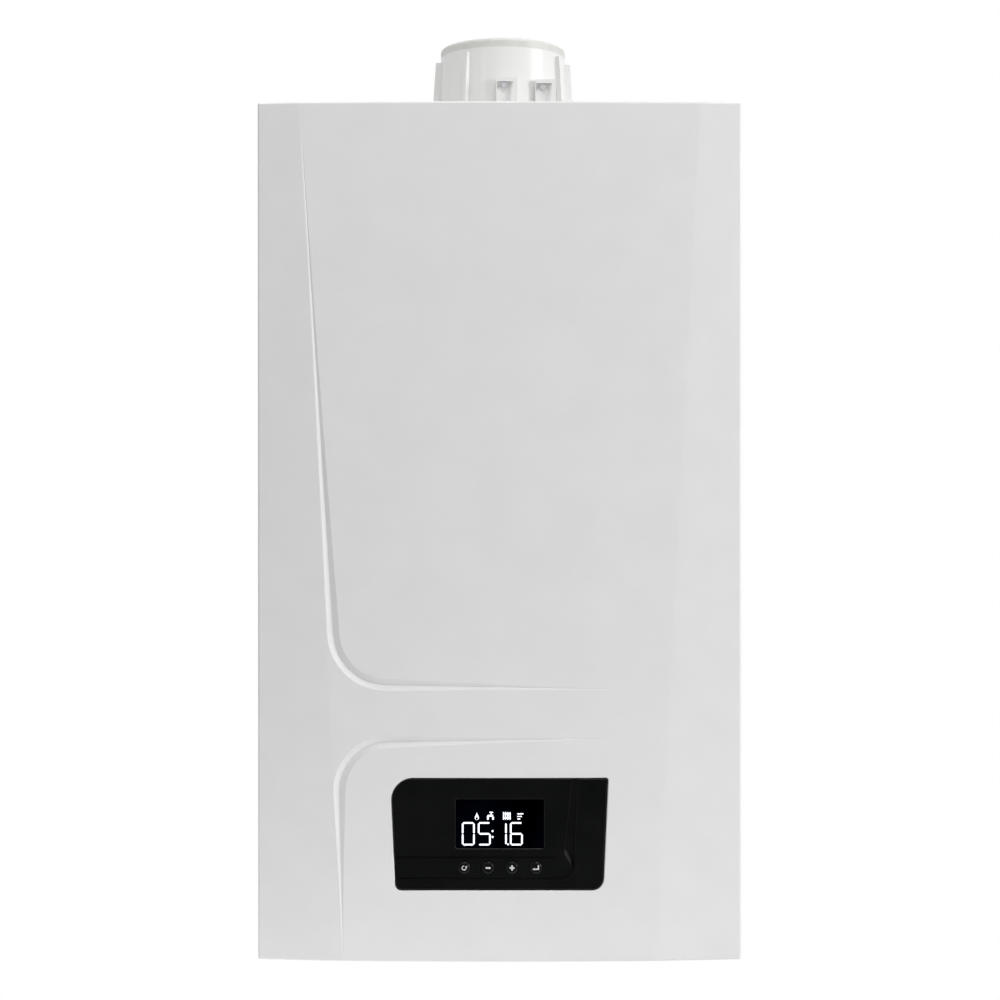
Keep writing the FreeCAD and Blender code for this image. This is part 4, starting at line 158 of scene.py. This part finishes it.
# %% [markdown]
# The casing is sheet steel with a baked white powder coat. The powder melts into a skin with a
# faint orange-peel ripple about 2 mm across and a soft satin gloss. The ripple is only about a
# hundredth of a millimetre high, so it shows in the gloss and not in the outline. The coat is
# never quite even either: it drifts by less than one shade over a few centimetres. A picture of
# paint could give all this, but noise has no seams and no edge where it repeats.

# %% White powder coat
finishes = {}
white_coat = finish("powder_coated_steel_white", "E4E4E4", roughness=0.5, IOR=1.5)
grain(white_coat, size_mm=2.2, depth_mm=0.012)
scuff(white_coat, size_mm=60, smooth=0.46, rough=0.54)
mottle(white_coat, size_mm=30, dark="E3E3E3", light="E5E5E5")
finishes["white_powder_coat"] = white_coat
print(white_coat.name)


# %% [markdown]
# The flue adaptor is moulded in white polypropylene with a polished tool, so it is glossier than
# the casing. The flue pipes inside are the same plastic in its natural grey, with the dull skin of
# a plain tool. The air and condensate parts are black with a fine grain, and the drain pipe and
# the cable glands are a darker grey. One flat white would look like paper, so the collar has the
# shallow waves of a moulded wall, about 6 mm across, which bend the edges of its highlights.

# %% Polypropylenes
white_plastic = finish("polypropylene_white_gloss", "E5E5E4", roughness=0.22, IOR=1.49,
                       Specular_IOR_Level=0.2)
grain(white_plastic, size_mm=6.0, depth_mm=0.02, detail=1.0)
finishes["white_pp"] = white_plastic
flue_plastic = finish("polypropylene_natural_grey", "BFC1BD", roughness=0.42, IOR=1.49)
mottle(flue_plastic, size_mm=30, dark="B8BAB6", light="C6C8C4")
grain(flue_plastic, size_mm=1.5, depth_mm=0.01)
finishes["flue_pp"] = flue_plastic
black_moulding = finish("polypropylene_black", "2A2A2B", roughness=0.45, IOR=1.49)
scuff(black_moulding, size_mm=12, smooth=0.38, rough=0.52)
grain(black_moulding, size_mm=0.8, depth_mm=0.02)
finishes["black_pp"] = black_moulding
drain_plastic = finish("polypropylene_drain_grey", "8A8C8E", roughness=0.4, IOR=1.49)
mottle(drain_plastic, size_mm=20, dark="84868A", light="919395")
finishes["grey_drain"] = drain_plastic
print(len(finishes), "finishes so far")


# %% [markdown]
# The control fascia is moulded black ABS with a fine spark-eroded grain, which keeps it dark and
# satin. The real grain is about a tenth of a millimetre, and it is drawn five times as coarse, so
# that a close view still shows it. The grain could be modelled, but it never reaches the outline,
# so a bump is enough. The buttons are the same plastic with a smoother tool, so each shows a thin
# bright edge. The window is smoked acrylic, black until it is lit from behind, with a trace of
# navy in it. The control box behind is plain grey ABS, and the knob of the safety valve is red
# polyamide.

# %% Control panel plastics
fascia_plastic = finish("abs_black_spark_grain", "070908", roughness=0.36, Specular_IOR_Level=0.24)
grain(fascia_plastic, size_mm=0.5, depth_mm=0.01)
scuff(fascia_plastic, size_mm=25, smooth=0.33, rough=0.4)
finishes["black_abs"] = fascia_plastic
button_plastic = finish("abs_black_satin", "0A0C0B", roughness=0.28, IOR=1.5)
scuff(button_plastic, size_mm=3, smooth=0.25, rough=0.33)
finishes["button_black"] = button_plastic
smoked_acrylic = finish("smoked_acrylic", "010103", roughness=0.07, IOR=1.49)
mottle(smoked_acrylic, size_mm=45, dark="000001", light="02030A", detail=0.0)
finishes["display_acrylic"] = smoked_acrylic
box_plastic = finish("abs_grey_moulded", "9A9C9E", roughness=0.45, IOR=1.53)
mottle(box_plastic, size_mm=40, dark="96989A", light="A0A2A4")
grain(box_plastic, size_mm=0.8, depth_mm=0.015)
finishes["grey_abs"] = box_plastic
valve_red = finish("polyamide_red", "C02020", roughness=0.3, IOR=1.53)
mottle(valve_red, size_mm=8, dark="B51C1C", light="C62626")
finishes["red_plastic"] = valve_red
print(len(finishes), "finishes so far")


# %% [markdown]
# Rubber parts are dull and slightly dusty. The ring that seals the flue is light grey EPDM, the
# cover seal is a black closed-cell foam strip whose cells are about a millimetre across, and the
# pipe grommets are plain black rubber. Noise would make the foam look like soil, so its round
# cells come from a Voronoi pattern.

# %% Rubbers and foam
ring_rubber = finish("epdm_rubber_light_grey", "D2D2CE", roughness=0.5, IOR=1.5)
mottle(ring_rubber, size_mm=10, dark="CFCFCB", light="D5D5D1")
grain(ring_rubber, size_mm=0.8, depth_mm=0.02)
finishes["grey_epdm"] = ring_rubber
grommet_rubber = finish("rubber_black", "262626", roughness=0.65, IOR=1.5)
mottle(grommet_rubber, size_mm=6, dark="222222", light="2E2E2D")
grain(grommet_rubber, size_mm=0.7, depth_mm=0.03)
finishes["black_rubber"] = grommet_rubber
FOAM_CELL_MM, FOAM_DEPTH_MM = 1.2, 0.25
seal_foam = finish("closed_cell_foam_black", "333333", roughness=0.9, IOR=1.4)
foam_tree = seal_foam.node_tree
foam_cells = add(foam_tree, "ShaderNodeTexVoronoi", {"Scale": 1000 / FOAM_CELL_MM},
                 {"Vector": place(seal_foam)})
foam_bump = add(foam_tree, "ShaderNodeBump", {"Strength": 1.0, "Distance": FOAM_DEPTH_MM * MM},
                {"Height": foam_cells.outputs["Distance"]})
foam_tree.links.new(foam_bump.outputs["Normal"], foam_tree.nodes["Principled BSDF"].inputs["Normal"])
finishes["seal_foam"] = seal_foam
print(len(finishes), "finishes so far")


# %% [markdown]
# The back frame, the base and the brackets are galvanised sheet. Zinc freezes on the steel in flat
# crystals, the spangle, each a slightly different grey and gloss. Noise has no edges, so a Voronoi
# pattern gives the crystals: each cell's own random colour steers its grey and its roughness. The
# screws are plated with bright zinc.

# %% Galvanised steel and zinc
SPANGLE_MM = 6.0
galvanised = finish("galvanised_steel_spangle", "B4B7BA", roughness=0.42, Metallic=1.0)
zinc_tree = galvanised.node_tree
zinc_surface = zinc_tree.nodes["Principled BSDF"]
spangle = add(zinc_tree, "ShaderNodeTexVoronoi", {"Scale": 1000 / SPANGLE_MM},
              {"Vector": place(galvanised)})
crystal = add(zinc_tree, "ShaderNodeSeparateColor", links={"Color": spangle.outputs["Color"]})
zinc_ramp = add(zinc_tree, "ShaderNodeValToRGB", links={"Fac": crystal.outputs["Red"]})
zinc_ramp.color_ramp.elements[0].color = linear("AEB1B4")
zinc_ramp.color_ramp.elements[1].color = linear("BBBEC1")
zinc_tree.links.new(zinc_ramp.outputs["Color"], zinc_surface.inputs["Base Color"])
zinc_gloss = add(zinc_tree, "ShaderNodeMapRange", {"To Min": 0.38, "To Max": 0.46},
                 {"Value": crystal.outputs["Green"]})
zinc_tree.links.new(zinc_gloss.outputs["Result"], zinc_surface.inputs["Roughness"])
finishes["galvanised_steel"] = galvanised
screw_zinc = finish("bright_zinc_plate", "C6C6C0", roughness=0.3, Metallic=1.0)
scuff(screw_zinc, size_mm=2, smooth=0.22, rough=0.4)
finishes["zinc_screw"] = screw_zinc
print(len(finishes), "finishes so far")


# %% [markdown]
# The heat cell, its hood, the fan and the gas valve are cast aluminium with the grain of the
# mould. The burner and the plate exchanger are stainless steel with rolling marks along one way.
# The pump body is cast iron under a thin grey dip coat, the motors are stoved black, and the
# expansion vessel has a glossy red enamel. The rolling marks could be fine scratches drawn one by
# one. Noise stretched 25 times along one axis gives the same streaks in the gloss.

# %% Cast and rolled metals
cast_metal = finish("cast_aluminium", "B9BBBD", roughness=0.5, Metallic=1.0)
mottle(cast_metal, size_mm=14, dark="A9ABAD", light="C1C3C5")
grain(cast_metal, size_mm=1.2, depth_mm=0.12, detail=4.0)
finishes["cast_aluminium"] = cast_metal
rolled_steel = finish("stainless_steel_rolled", "C4C2BE", roughness=0.3, Metallic=1.0)
scuff(rolled_steel, size_mm=4, smooth=0.2, rough=0.38, stretch=(1, 1, 0.04))
finishes["stainless"] = rolled_steel
dipped_iron = finish("cast_iron_dip_coat", "7D8083", roughness=0.5)
mottle(dipped_iron, size_mm=10, dark="74777A", light="85888B")
grain(dipped_iron, size_mm=1.6, depth_mm=0.15, detail=4.0)
finishes["pump_casting"] = dipped_iron
motor_paint = finish("stoved_enamel_black", "2C2C2E", roughness=0.35)
scuff(motor_paint, size_mm=8, smooth=0.3, rough=0.45)
grain(motor_paint, size_mm=1.0, depth_mm=0.03)
finishes["motor_black"] = motor_paint
vessel_paint = finish("enamel_red", "B5302A", roughness=0.28, Coat_Weight=0.3, Coat_Roughness=0.12)
mottle(vessel_paint, size_mm=80, dark="AE2C26", light="BC342E")
grain(vessel_paint, size_mm=2.5, depth_mm=0.02)
finishes["red_vessel"] = vessel_paint
print(len(finishes), "finishes so far")


# %% [markdown]
# The pipes are drawn copper. Handling and flux leave them with slow patches of brown over the pink
# metal. The vent and the safety valve are turned brass, a little duller than polished. The patches
# could follow each pipe's own length, but most pipes stand upright, so one noise that is stretched
# upwards serves them all.

# %% Copper and brass
pipe_copper = finish("drawn_copper", "D98F6C", roughness=0.28, Metallic=1.0)
mottle(pipe_copper, size_mm=25, dark="B8704F", light="E0A07E",
       stretch=(1, 1, 0.5), low=0.3, high=0.6)
scuff(pipe_copper, size_mm=20, smooth=0.28, rough=0.36)
finishes["copper"] = pipe_copper
turned_brass = finish("turned_brass", "D9BC7A", roughness=0.3, Metallic=1.0)
mottle(turned_brass, size_mm=12, dark="C9A963", light="DEC388")
scuff(turned_brass, size_mm=5, smooth=0.22, rough=0.4)
finishes["brass"] = turned_brass
print(len(finishes), "finishes so far")


# %% [markdown]
# The last ones are the insides of the control box, the glass-filled plastic of the water blocks
# with its pale fibre flecks, the glazed ceramic of the spark electrode, and the woven steel wire
# round the vessel's hose. The flecks, the tracks on the boards and the strands of the braid are
# drawn coarser than real, because at their true size they would blur to one grey. The braid could
# be woven from curves, but it lies behind the cover, so bands in its bump are enough.

# %% Boards, composite, ceramic and braid
# A brick is half the board unit long and a quarter of it high.
BOARD_UNIT_MM, TRACK_SHARE = 8.0, 0.06
STRAND_MM, STRAND_DEPTH_MM = 6.84, 0.4
# A diagonal wave turns by 10 radians where x + y + z grows by 1.
BRAID_SCALE = 2 * math.pi * 1000 / (10 * math.sqrt(3) * STRAND_MM)
solder_mask = finish("circuit_board_green", "2F6E4A", roughness=0.35)
board_tree = solder_mask.node_tree
tracks = add(board_tree, "ShaderNodeTexBrick",
             {"Scale": 1000 / BOARD_UNIT_MM, "Mortar Size": TRACK_SHARE, "Color1": linear("2B6A46"),
              "Color2": linear("317350"), "Mortar": linear("5C9A6E")},
             {"Vector": place(solder_mask)})
board_tree.links.new(tracks.outputs["Color"], board_tree.nodes["Principled BSDF"].inputs["Base Color"])
finishes["green_board"] = solder_mask
composite = finish("glass_filled_polyamide", "404144", roughness=0.55, IOR=1.53)
mottle(composite, size_mm=1.4, dark="3A3B3E", light="55575A",
       stretch=(1, 0.25, 1), low=0.5, high=0.75)
grain(composite, size_mm=0.9, depth_mm=0.03)
finishes["hydraulic_composite"] = composite
glazed_ceramic = finish("glazed_ceramic_white", "E8E4DA", roughness=0.16)
mottle(glazed_ceramic, size_mm=6, dark="E2DED3", light="EDEAE1")
finishes["white_ceramic"] = glazed_ceramic
wire_braid = finish("stainless_wire_braid", "BDBDBC", roughness=0.34, Metallic=1.0)
braid_tree = wire_braid.node_tree
strands = add(braid_tree, "ShaderNodeTexWave", {"Scale": BRAID_SCALE, "Distortion": 0.0},
              {"Vector": place(wire_braid)}, bands_direction="DIAGONAL")
braid_bump = add(braid_tree, "ShaderNodeBump", {"Strength": 1.0, "Distance": STRAND_DEPTH_MM * MM},
                 {"Height": strands.outputs["Fac"]})
braid_surface = braid_tree.nodes["Principled BSDF"]
braid_tree.links.new(braid_bump.outputs["Normal"], braid_surface.inputs["Normal"])
finishes["steel_hose"] = wire_braid
print(len(finishes), "finishes in all")


# %% [markdown]
# Each node of the frame already names the slot that its finish belongs to, so one loop dresses the
# whole model. The meshes stay as they are: only the material in the slot changes. Sixty lines with
# a name each would do the same, and would miss a node that is added later.

# %% Dress the frame
for row in frame["record"]["subparts"]:
    frame["nodes"][row["node"]].material_slots[0].material = finishes[row["material_slot"]]


# %% [markdown]
# The two test caps are a softer plastic than the adaptor. Their light grey is painted shade: it
# darkens each cap to stand for the dark spot of shade in its port under the hood. The loop gave
# them the finish of their slot, and here they get their own by name.

# %% Test caps
# Painted shade: the caps' grey stands for the dark spot of shade under each port's hood.
cap_grey_painted_shade = finish("polyethylene_grey_painted_shade", "C0C2C4", roughness=0.45, IOR=1.5)
mottle(cap_grey_painted_shade, size_mm=5, dark="BCBEC0", light="C4C6C8")
for cap in ("flue_test_cap", "air_test_cap"):
    frame["nodes"][cap].material_slots[0].material = cap_grey_painted_shade
print(cap_grey_painted_shade.name)


# %% [markdown]
# The reading behind the window is a row of seven-bar digits under a row of small signs. Each lit
# bar is a thin plate with pointed ends. One level bar and one upright bar are modelled: a plane is
# cut to size, its corners are bevelled to a point, and a Solidify modifier gives it thickness. The
# digits are copies of those two. A text object would be quicker, but its figures are drawn with
# strokes, and a lit display is made of bars.

# %% Plates for the lit and printed marks
PLATE_T = 0.06 * MM
lit_white = finish("lit_segment_white", "E8ECF4", roughness=0.4, Emission_Color=linear("F2F5FF"),
                   Emission_Strength=0.95)
print_white = finish("screen_print_white", "DADCDC", roughness=0.5, IOR=1.5)
mottle(print_white, size_mm=1.5, dark="D2D4D4", light="E0E2E2")


def start_plate():
    """Nothing selected, and out of edit mode, so that the next primitive is alone."""
    if bpy.context.object is not None and bpy.context.object.mode != "OBJECT":
        bpy.ops.object.mode_set(mode="OBJECT")
    bpy.ops.object.select_all(action="DESELECT")


def settle(piece):
    """Puts a piece's place, turn and size into its mesh."""
    bpy.ops.object.select_all(action="DESELECT")
    piece.select_set(True)
    bpy.context.view_layer.objects.active = piece
    bpy.ops.object.transform_apply(location=True, rotation=True, scale=True)


def bar(width, height, x=0.0, z=0.0, point=0.0):
    """A flat bar in millimetres that faces the room, with its corners cut back by point."""
    start_plate()
    bpy.ops.mesh.primitive_plane_add(size=1, rotation=(math.radians(90), 0, 0))
    plate = bpy.context.object
    plate.scale = (width * MM, height * MM, 1)
    settle(plate)
    if point:
        bpy.ops.object.mode_set(mode="EDIT")
        bpy.ops.mesh.select_all(action="SELECT")
        bpy.ops.mesh.bevel(offset=point * MM, affect="VERTICES")
        bpy.ops.object.mode_set(mode="OBJECT")
    plate.location = (x * MM, 0, z * MM)
    settle(plate)
    return plate


def copy_at(piece, x, z):
    """A copy with its own mesh, moved by x and z in millimetres."""
    twin = piece.copy()
    twin.data = piece.data.copy()
    bpy.context.scene.collection.objects.link(twin)
    twin.location = (x * MM, 0, z * MM)
    return twin


def join_mark(name, plates, y, material, body):
    """Joins flat plates into one mark, gives it thickness, and seats it on the face at y."""
    bpy.ops.object.select_all(action="DESELECT")
    for plate in plates:
        plate.select_set(True)
    bpy.context.view_layer.objects.active = plates[0]
    if len(plates) > 1:
        bpy.ops.object.join()
    mark = bpy.context.view_layer.objects.active
    mark.name = name
    mark.location.y += y
    settle(mark)
    thicken = mark.modifiers.new("thickness", "SOLIDIFY")
    thicken.thickness = PLATE_T
    thicken.offset = 1
    bpy.ops.object.modifier_apply(modifier=thicken.name)
    mark.data.materials.clear()
    mark.data.materials.append(material)
    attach(mark, body)
    print(name, len(mark.data.polygons), "faces")


# %% [markdown]
# Each digit stands in a cell 10.5 mm wide and 19 mm high, and the cells are 13 mm apart. The
# letters a to g are the usual names of the seven bars, clockwise from the top with the middle one
# last. The reading shown is a made-up one.

# %% Digits
CELL_W, CELL_H, CELL_PITCH = 10.5, 19.0, 13.03
BAR_T, BAR_GAP = 1.35, 0.5
BAR_POINT = BAR_T * 0.46
CELL_LEFT, CELL_FOOT = -30.5, -560.3
DOT_SIZE, DOT_POINT = 1.5, 0.4
DOT_PLACES = ((-5.5, -548.6), (-5.5, -553.4), (7.1, -559.4))
DIGIT_BARS = {"0": "abcdef", "1": "bc", "5": "acdfg", "6": "acdefg"}
READING = "0516"
level_l = CELL_W - BAR_T - BAR_GAP
upright_l = (CELL_H - BAR_T) / 2 - BAR_GAP
level_bar = bar(level_l, BAR_T, point=BAR_POINT)
upright_bar = bar(BAR_T, upright_l, point=BAR_POINT)
near, far = BAR_T / 2, CELL_W - BAR_T / 2
low, mid, high = BAR_T / 2, CELL_H / 2, CELL_H - BAR_T / 2
BAR_PLACES = {"a": (level_bar, CELL_W / 2, high), "g": (level_bar, CELL_W / 2, mid),
              "d": (level_bar, CELL_W / 2, low),
              "b": (upright_bar, far, (mid + high) / 2), "c": (upright_bar, far, (mid + low) / 2),
              "f": (upright_bar, near, (mid + high) / 2), "e": (upright_bar, near, (mid + low) / 2)}
digit_bars = []
for cell, digit in enumerate(READING):
    for letter in DIGIT_BARS[digit]:
        model, across, up = BAR_PLACES[letter]
        digit_bars.append(copy_at(model, CELL_LEFT + cell * CELL_PITCH + across, CELL_FOOT + up))
for x, z in DOT_PLACES:
    digit_bars.append(bar(DOT_SIZE, DOT_SIZE, x, z, point=DOT_POINT))
for model in (level_bar, upright_bar):
    bpy.data.objects.remove(model)
window_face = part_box("display_window")[0].y
join_mark("display_digits", digit_bars, window_face, lit_white, "control_panel")


# %% [markdown]
# Above the digits stand four plain signs: a flame, a tap, a radiator and three bars. The flame
# starts as a disc whose top is pulled up to a point. The others are built from bars. Each of the
# flame's steps takes the points above a share of the radius, lifts them and draws them together.

# %% Signs over the digits
FLAME_X, FLAME_Z, FLAME_R, FLAME_SIDES = -18.3, -537.9, 1.7, 24
FLAME_STEPS = ((0.1, 0.25, 0.9), (0.45, 0.4, 0.8), (0.8, 0.5, 0.6), (0.97, 0.5, 1.0))
FLAME_WALL, FLAME_HOLE_DROP = 0.45, 0.35
TAP_BARS = ((4.4, 1.5, -7.2, -536.2), (1.4, 3.3, -9.3, -537.7), (1.4, 2.4, -5.1, -538.2),
            (1.0, 1.8, -6.6, -534.6), (3.0, 0.9, -6.6, -533.4))
COLUMN_COUNT, COLUMN_PITCH, COLUMN_W, COLUMN_H = 4, 1.75, 0.95, 6.2
COLUMN_X, COLUMN_Z = 3.45, -536.3
RAIL_L, RAIL_T, RAIL_X = 5.8, 0.4, 6.08
RAIL_HEIGHTS = (-534.6, -538.0)
ROW_LENGTHS = (5.0, 3.7, 2.4)
ROW_T, ROW_PITCH, ROW_LEFT, ROW_TOP = 0.9, 2.1, 14.6, -534.6
SIGN_POINT, ROW_POINT = 0.25, 0.2


def select_points(piece, chosen):
    """Goes into edit mode with only the chosen points selected."""
    bpy.ops.object.mode_set(mode="EDIT")
    bpy.ops.mesh.select_mode(type="VERT")
    bpy.ops.mesh.select_all(action="DESELECT")
    bpy.ops.object.mode_set(mode="OBJECT")
    piece.data.vertices.foreach_set("select", chosen)
    bpy.ops.object.mode_set(mode="EDIT")


def flame(x, z, radius):
    """A disc with its top pulled up to a point and its waist drawn in, open low in the middle."""
    start_plate()
    bpy.ops.mesh.primitive_circle_add(vertices=FLAME_SIDES, radius=radius * MM, fill_type="NGON",
                                      rotation=(math.radians(90), 0, 0))
    disc = bpy.context.object
    settle(disc)
    heights = [point.co.z / (radius * MM) for point in disc.data.vertices]
    for share, lift, pinch in FLAME_STEPS:
        select_points(disc, [height > share for height in heights])
        bpy.ops.transform.translate(value=(0, 0, lift * radius * MM))
        bpy.ops.transform.resize(value=(pinch, 1, 1), center_override=(0, 0, 0))
        bpy.ops.object.mode_set(mode="OBJECT")
    bpy.ops.object.mode_set(mode="EDIT")
    bpy.ops.mesh.select_all(action="SELECT")
    bpy.ops.mesh.inset(thickness=FLAME_WALL * radius * MM)
    bpy.ops.transform.translate(value=(0, 0, -FLAME_HOLE_DROP * radius * MM))
    bpy.ops.mesh.delete(type="FACE")
    bpy.ops.object.mode_set(mode="OBJECT")
    disc.location = (x * MM, 0, z * MM)
    settle(disc)
    return disc


signs = [flame(FLAME_X, FLAME_Z, FLAME_R)]
for width, height, x, z in TAP_BARS:
    signs.append(bar(width, height, x, z, point=SIGN_POINT))
for column in range(COLUMN_COUNT):
    x = COLUMN_X + column * COLUMN_PITCH
    signs.append(bar(COLUMN_W, COLUMN_H, x, COLUMN_Z, point=SIGN_POINT))
for z in RAIL_HEIGHTS:
    signs.append(bar(RAIL_L, RAIL_T, RAIL_X, z))
for row, length in enumerate(ROW_LENGTHS):
    signs.append(bar(length, ROW_T, ROW_LEFT + length / 2, ROW_TOP - row * ROW_PITCH, point=ROW_POINT))
join_mark("display_signs", signs, window_face, lit_white, "control_panel")


# %% [markdown]
# The four buttons carry printed marks: a turning arrow, minus, plus and a return arrow. The
# turning arrow is a disc with an inset face cut out of it, so a ring is left; a gap is cut in the
# ring and a three-sided disc makes the arrow head. The marks could be painted by the material, but
# plates keep sharp edges at any distance. Each mark rides on its own key.

# %% Printed marks on the buttons
KEY_Z = -578.6
RESET_X, MINUS_X, PLUS_X, ENTER_X = -28.65, -9.15, 10.35, 29.85
STROKE_L, STROKE_T, STROKE_POINT = 4.2, 1.3, 0.3
STUB_W, STUB_H, STUB_RISE = 1.25, 1.5, 1.35
RING_R, RING_STROKE, RING_SIDES = 2.0, 0.7, 48
RETURN_L, RETURN_H, RETURN_T, RETURN_DROP = 3.0, 3.8, 1.0, 1.0


def arrow_head(x, z, radius, turn):
    """A small triangle that points up before it is turned."""
    start_plate()
    bpy.ops.mesh.primitive_circle_add(vertices=3, radius=radius * MM, fill_type="NGON",
                                      rotation=(math.radians(90), 0, 0))
    head = bpy.context.object
    settle(head)
    head.rotation_euler = (0, math.radians(turn), 0)
    head.location = (x * MM, 0, z * MM)
    settle(head)
    return head


def open_ring(x, z, radius, stroke, gap_from, gap_to):
    """A flat ring with a gap between two angles, measured upwards from the right in degrees."""
    start_plate()
    bpy.ops.mesh.primitive_circle_add(vertices=RING_SIDES, radius=radius * MM, fill_type="NGON",
                                      rotation=(math.radians(90), 0, 0))
    ring = bpy.context.object
    settle(ring)
    bpy.ops.object.mode_set(mode="EDIT")
    bpy.ops.mesh.select_all(action="SELECT")
    bpy.ops.mesh.inset(thickness=stroke * MM)
    bpy.ops.mesh.delete(type="FACE")
    bpy.ops.mesh.select_mode(type="FACE")
    bpy.ops.mesh.select_all(action="DESELECT")
    bpy.ops.object.mode_set(mode="OBJECT")
    for face in ring.data.polygons:
        angle = math.degrees(math.atan2(face.center.z, face.center.x)) % 360
        face.select = gap_from < angle < gap_to
    bpy.ops.object.mode_set(mode="EDIT")
    bpy.ops.mesh.delete(type="FACE")
    bpy.ops.object.mode_set(mode="OBJECT")
    ring.location = (x * MM, 0, z * MM)
    settle(ring)
    return ring


def key_mark(key, plates):
    """Seats a printed mark on its button and lets it ride on that key."""
    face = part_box(key + "_button")[0].y
    join_mark(key + "_mark", plates, face, print_white, key + "_key")


key_mark("reset", [open_ring(RESET_X, KEY_Z, RING_R, RING_STROKE, gap_from=20, gap_to=90),
                   arrow_head(RESET_X + 1.75, KEY_Z + 0.9, radius=1.1, turn=160)])
key_mark("minus", [bar(STROKE_L, STROKE_T, MINUS_X, KEY_Z, point=STROKE_POINT)])
key_mark("plus", [bar(STUB_W, STUB_H, PLUS_X, KEY_Z + STUB_RISE),
                  bar(STROKE_L, STROKE_T, PLUS_X, KEY_Z, point=STROKE_POINT),
                  bar(STUB_W, STUB_H, PLUS_X, KEY_Z - STUB_RISE)])
key_mark("enter", [bar(RETURN_L, RETURN_T, ENTER_X + 0.05, KEY_Z - RETURN_DROP),
                   bar(RETURN_T, RETURN_H, ENTER_X + 1.95, KEY_Z + 0.4),
                   arrow_head(ENTER_X - 1.65, KEY_Z - RETURN_DROP, radius=1.3, turn=-90)])


# %% [markdown]
# The studio starts with an even dim sky that fills the shadows. It could simply be bright, but
# then it would flatten every groove of the cover. So it is dim for the light that falls on the
# boiler, and only the camera, the reflections and what shows through glass see it as plain white
# paper.

# %% Sky
SKY_LEVEL = 0.315


def background_rays(tree):
    """1 for the rays that see the white background: from the camera, mirrored or through glass."""
    rays = add(tree, "ShaderNodeLightPath")
    seen = add(tree, "ShaderNodeMath", operation="MAXIMUM",
               links={0: rays.outputs["Is Camera Ray"], 1: rays.outputs["Is Glossy Ray"]})
    seen_through = add(tree, "ShaderNodeMath", operation="MAXIMUM",
                       links={0: seen.outputs[0], 1: rays.outputs["Is Transmission Ray"]})
    return seen_through.outputs[0]


sky = bpy.data.worlds.new("studio_sky")
bpy.context.scene.world = sky
sky.use_nodes = True
sky_tree = sky.node_tree
sky_tree.nodes.clear()
level = add(sky_tree, "ShaderNodeMapRange", {"To Min": SKY_LEVEL, "To Max": 1.0},
            {"Value": background_rays(sky_tree)})
paper = add(sky_tree, "ShaderNodeBackground", {"Color": (1, 1, 1, 1)},
            {"Strength": level.outputs["Result"]})
add(sky_tree, "ShaderNodeOutputWorld", links={"Surface": paper.outputs["Background"]})
print("sky level:", SKY_LEVEL)


# %% [markdown]
# Six soft lamps do the rest. One big lamp would be simpler, but the grooves of the cover need
# light from the side and from above at once. The wide key stands on the right, a little above the
# case, and shades the front from right to left. The lamp overhead puts a dark upper edge and a
# bright lower edge into the level grooves. A weak fill from below lifts the foot of the cover, the
# reflection of a tall strip on the left draws the fine light lines on the collar and the fascia, a
# small lamp beside the collar keeps its left side from going dull, and the last one lights the
# back, which the others leave dark. Places and sizes are in metres.

# %% Lamps
MIDDLE = Vector((0, -0.25, -0.3))


def softbox(name, at, size, watts, mirrored=True):
    """An area lamp of that width and height, aimed at the boiler, that may show in its gloss."""
    lamp = bpy.data.lights.new(name, "AREA")
    lamp.shape = "RECTANGLE"
    lamp.size, lamp.size_y = size
    lamp.energy = watts
    lamp_object = bpy.data.objects.new(name, lamp)
    lamp_object.location = at
    lamp_object.rotation_euler = (MIDDLE - Vector(at)).to_track_quat("-Z", "Y").to_euler()
    lamp_object.visible_camera = False
    lamp_object.visible_glossy = mirrored
    bpy.context.scene.collection.objects.link(lamp_object)
    print(name, watts, "watts")


softbox("key_softbox", at=(2.8, -1.45, 0.55), size=(1.2, 1.2), watts=51)
softbox("top_softbox", at=(0.5, -1.6, 3.0), size=(2.0, 1.0), watts=58)
softbox("low_fill", at=(-0.15, -0.5, -0.9), size=(1.0, 0.2), watts=0.85, mirrored=False)
softbox("left_strip", at=(-1.3, -2.0, 0.75), size=(0.08, 1.0), watts=4.4)
softbox("collar_lamp", at=(-0.25, -0.28, 0.35), size=(0.12, 0.12), watts=0.26)
softbox("back_fill", at=(0.2, 2.6, 0.7), size=(1.6, 1.6), watts=34, mirrored=False)


# %% [markdown]
# A black card stands behind the camera, as a photographer would put it there, so that the black
# plastics have something dark to mirror. It shows in reflections alone. The floor is matt white
# paint. A little glow of its own, for the same rays that see the sky as white, brings it up to the
# background, and the boiler's shadow still falls on it.

# %% Card and floor
CARD_SIZE = 9.0
CARD_AT = (0, -2.7, -0.3)
FLOOR_R, FLOOR_Z, FLOOR_SIDES = 4.2, -1.7, 128
FLOOR_GLOW = 0.55
bpy.ops.object.select_all(action="DESELECT")
bpy.ops.mesh.primitive_plane_add(size=CARD_SIZE, location=CARD_AT, rotation=(math.radians(90), 0, 0))
card = bpy.context.object
card.name = "black_card"
card.data.materials.append(finish("black_felt", "020202", roughness=0.95, Specular_IOR_Level=0.0))
card.visible_camera = False
card.visible_diffuse = False
card.visible_shadow = False
card.visible_transmission = False

bpy.ops.object.select_all(action="DESELECT")
bpy.ops.mesh.primitive_circle_add(vertices=FLOOR_SIDES, radius=FLOOR_R, fill_type="NGON",
                                  location=(0, 0, FLOOR_Z))
floor = bpy.context.object
floor.name = "studio_floor"
floor_paint = finish("matt_white_floor", "F4F4F4", roughness=0.85, Specular_IOR_Level=0.2)
floor_tree = floor_paint.node_tree
floor_glow = add(floor_tree, "ShaderNodeMath", {1: FLOOR_GLOW}, {0: background_rays(floor_tree)},
                 operation="MULTIPLY")
floor_surface = floor_tree.nodes["Principled BSDF"]
floor_surface.inputs["Emission Color"].default_value = (1, 1, 1, 1)
floor_tree.links.new(floor_glow.outputs[0], floor_surface.inputs["Emission Strength"])
floor.data.materials.append(floor_paint)
bpy.context.scene.view_settings.view_transform = "Standard"
print("card and floor in place")
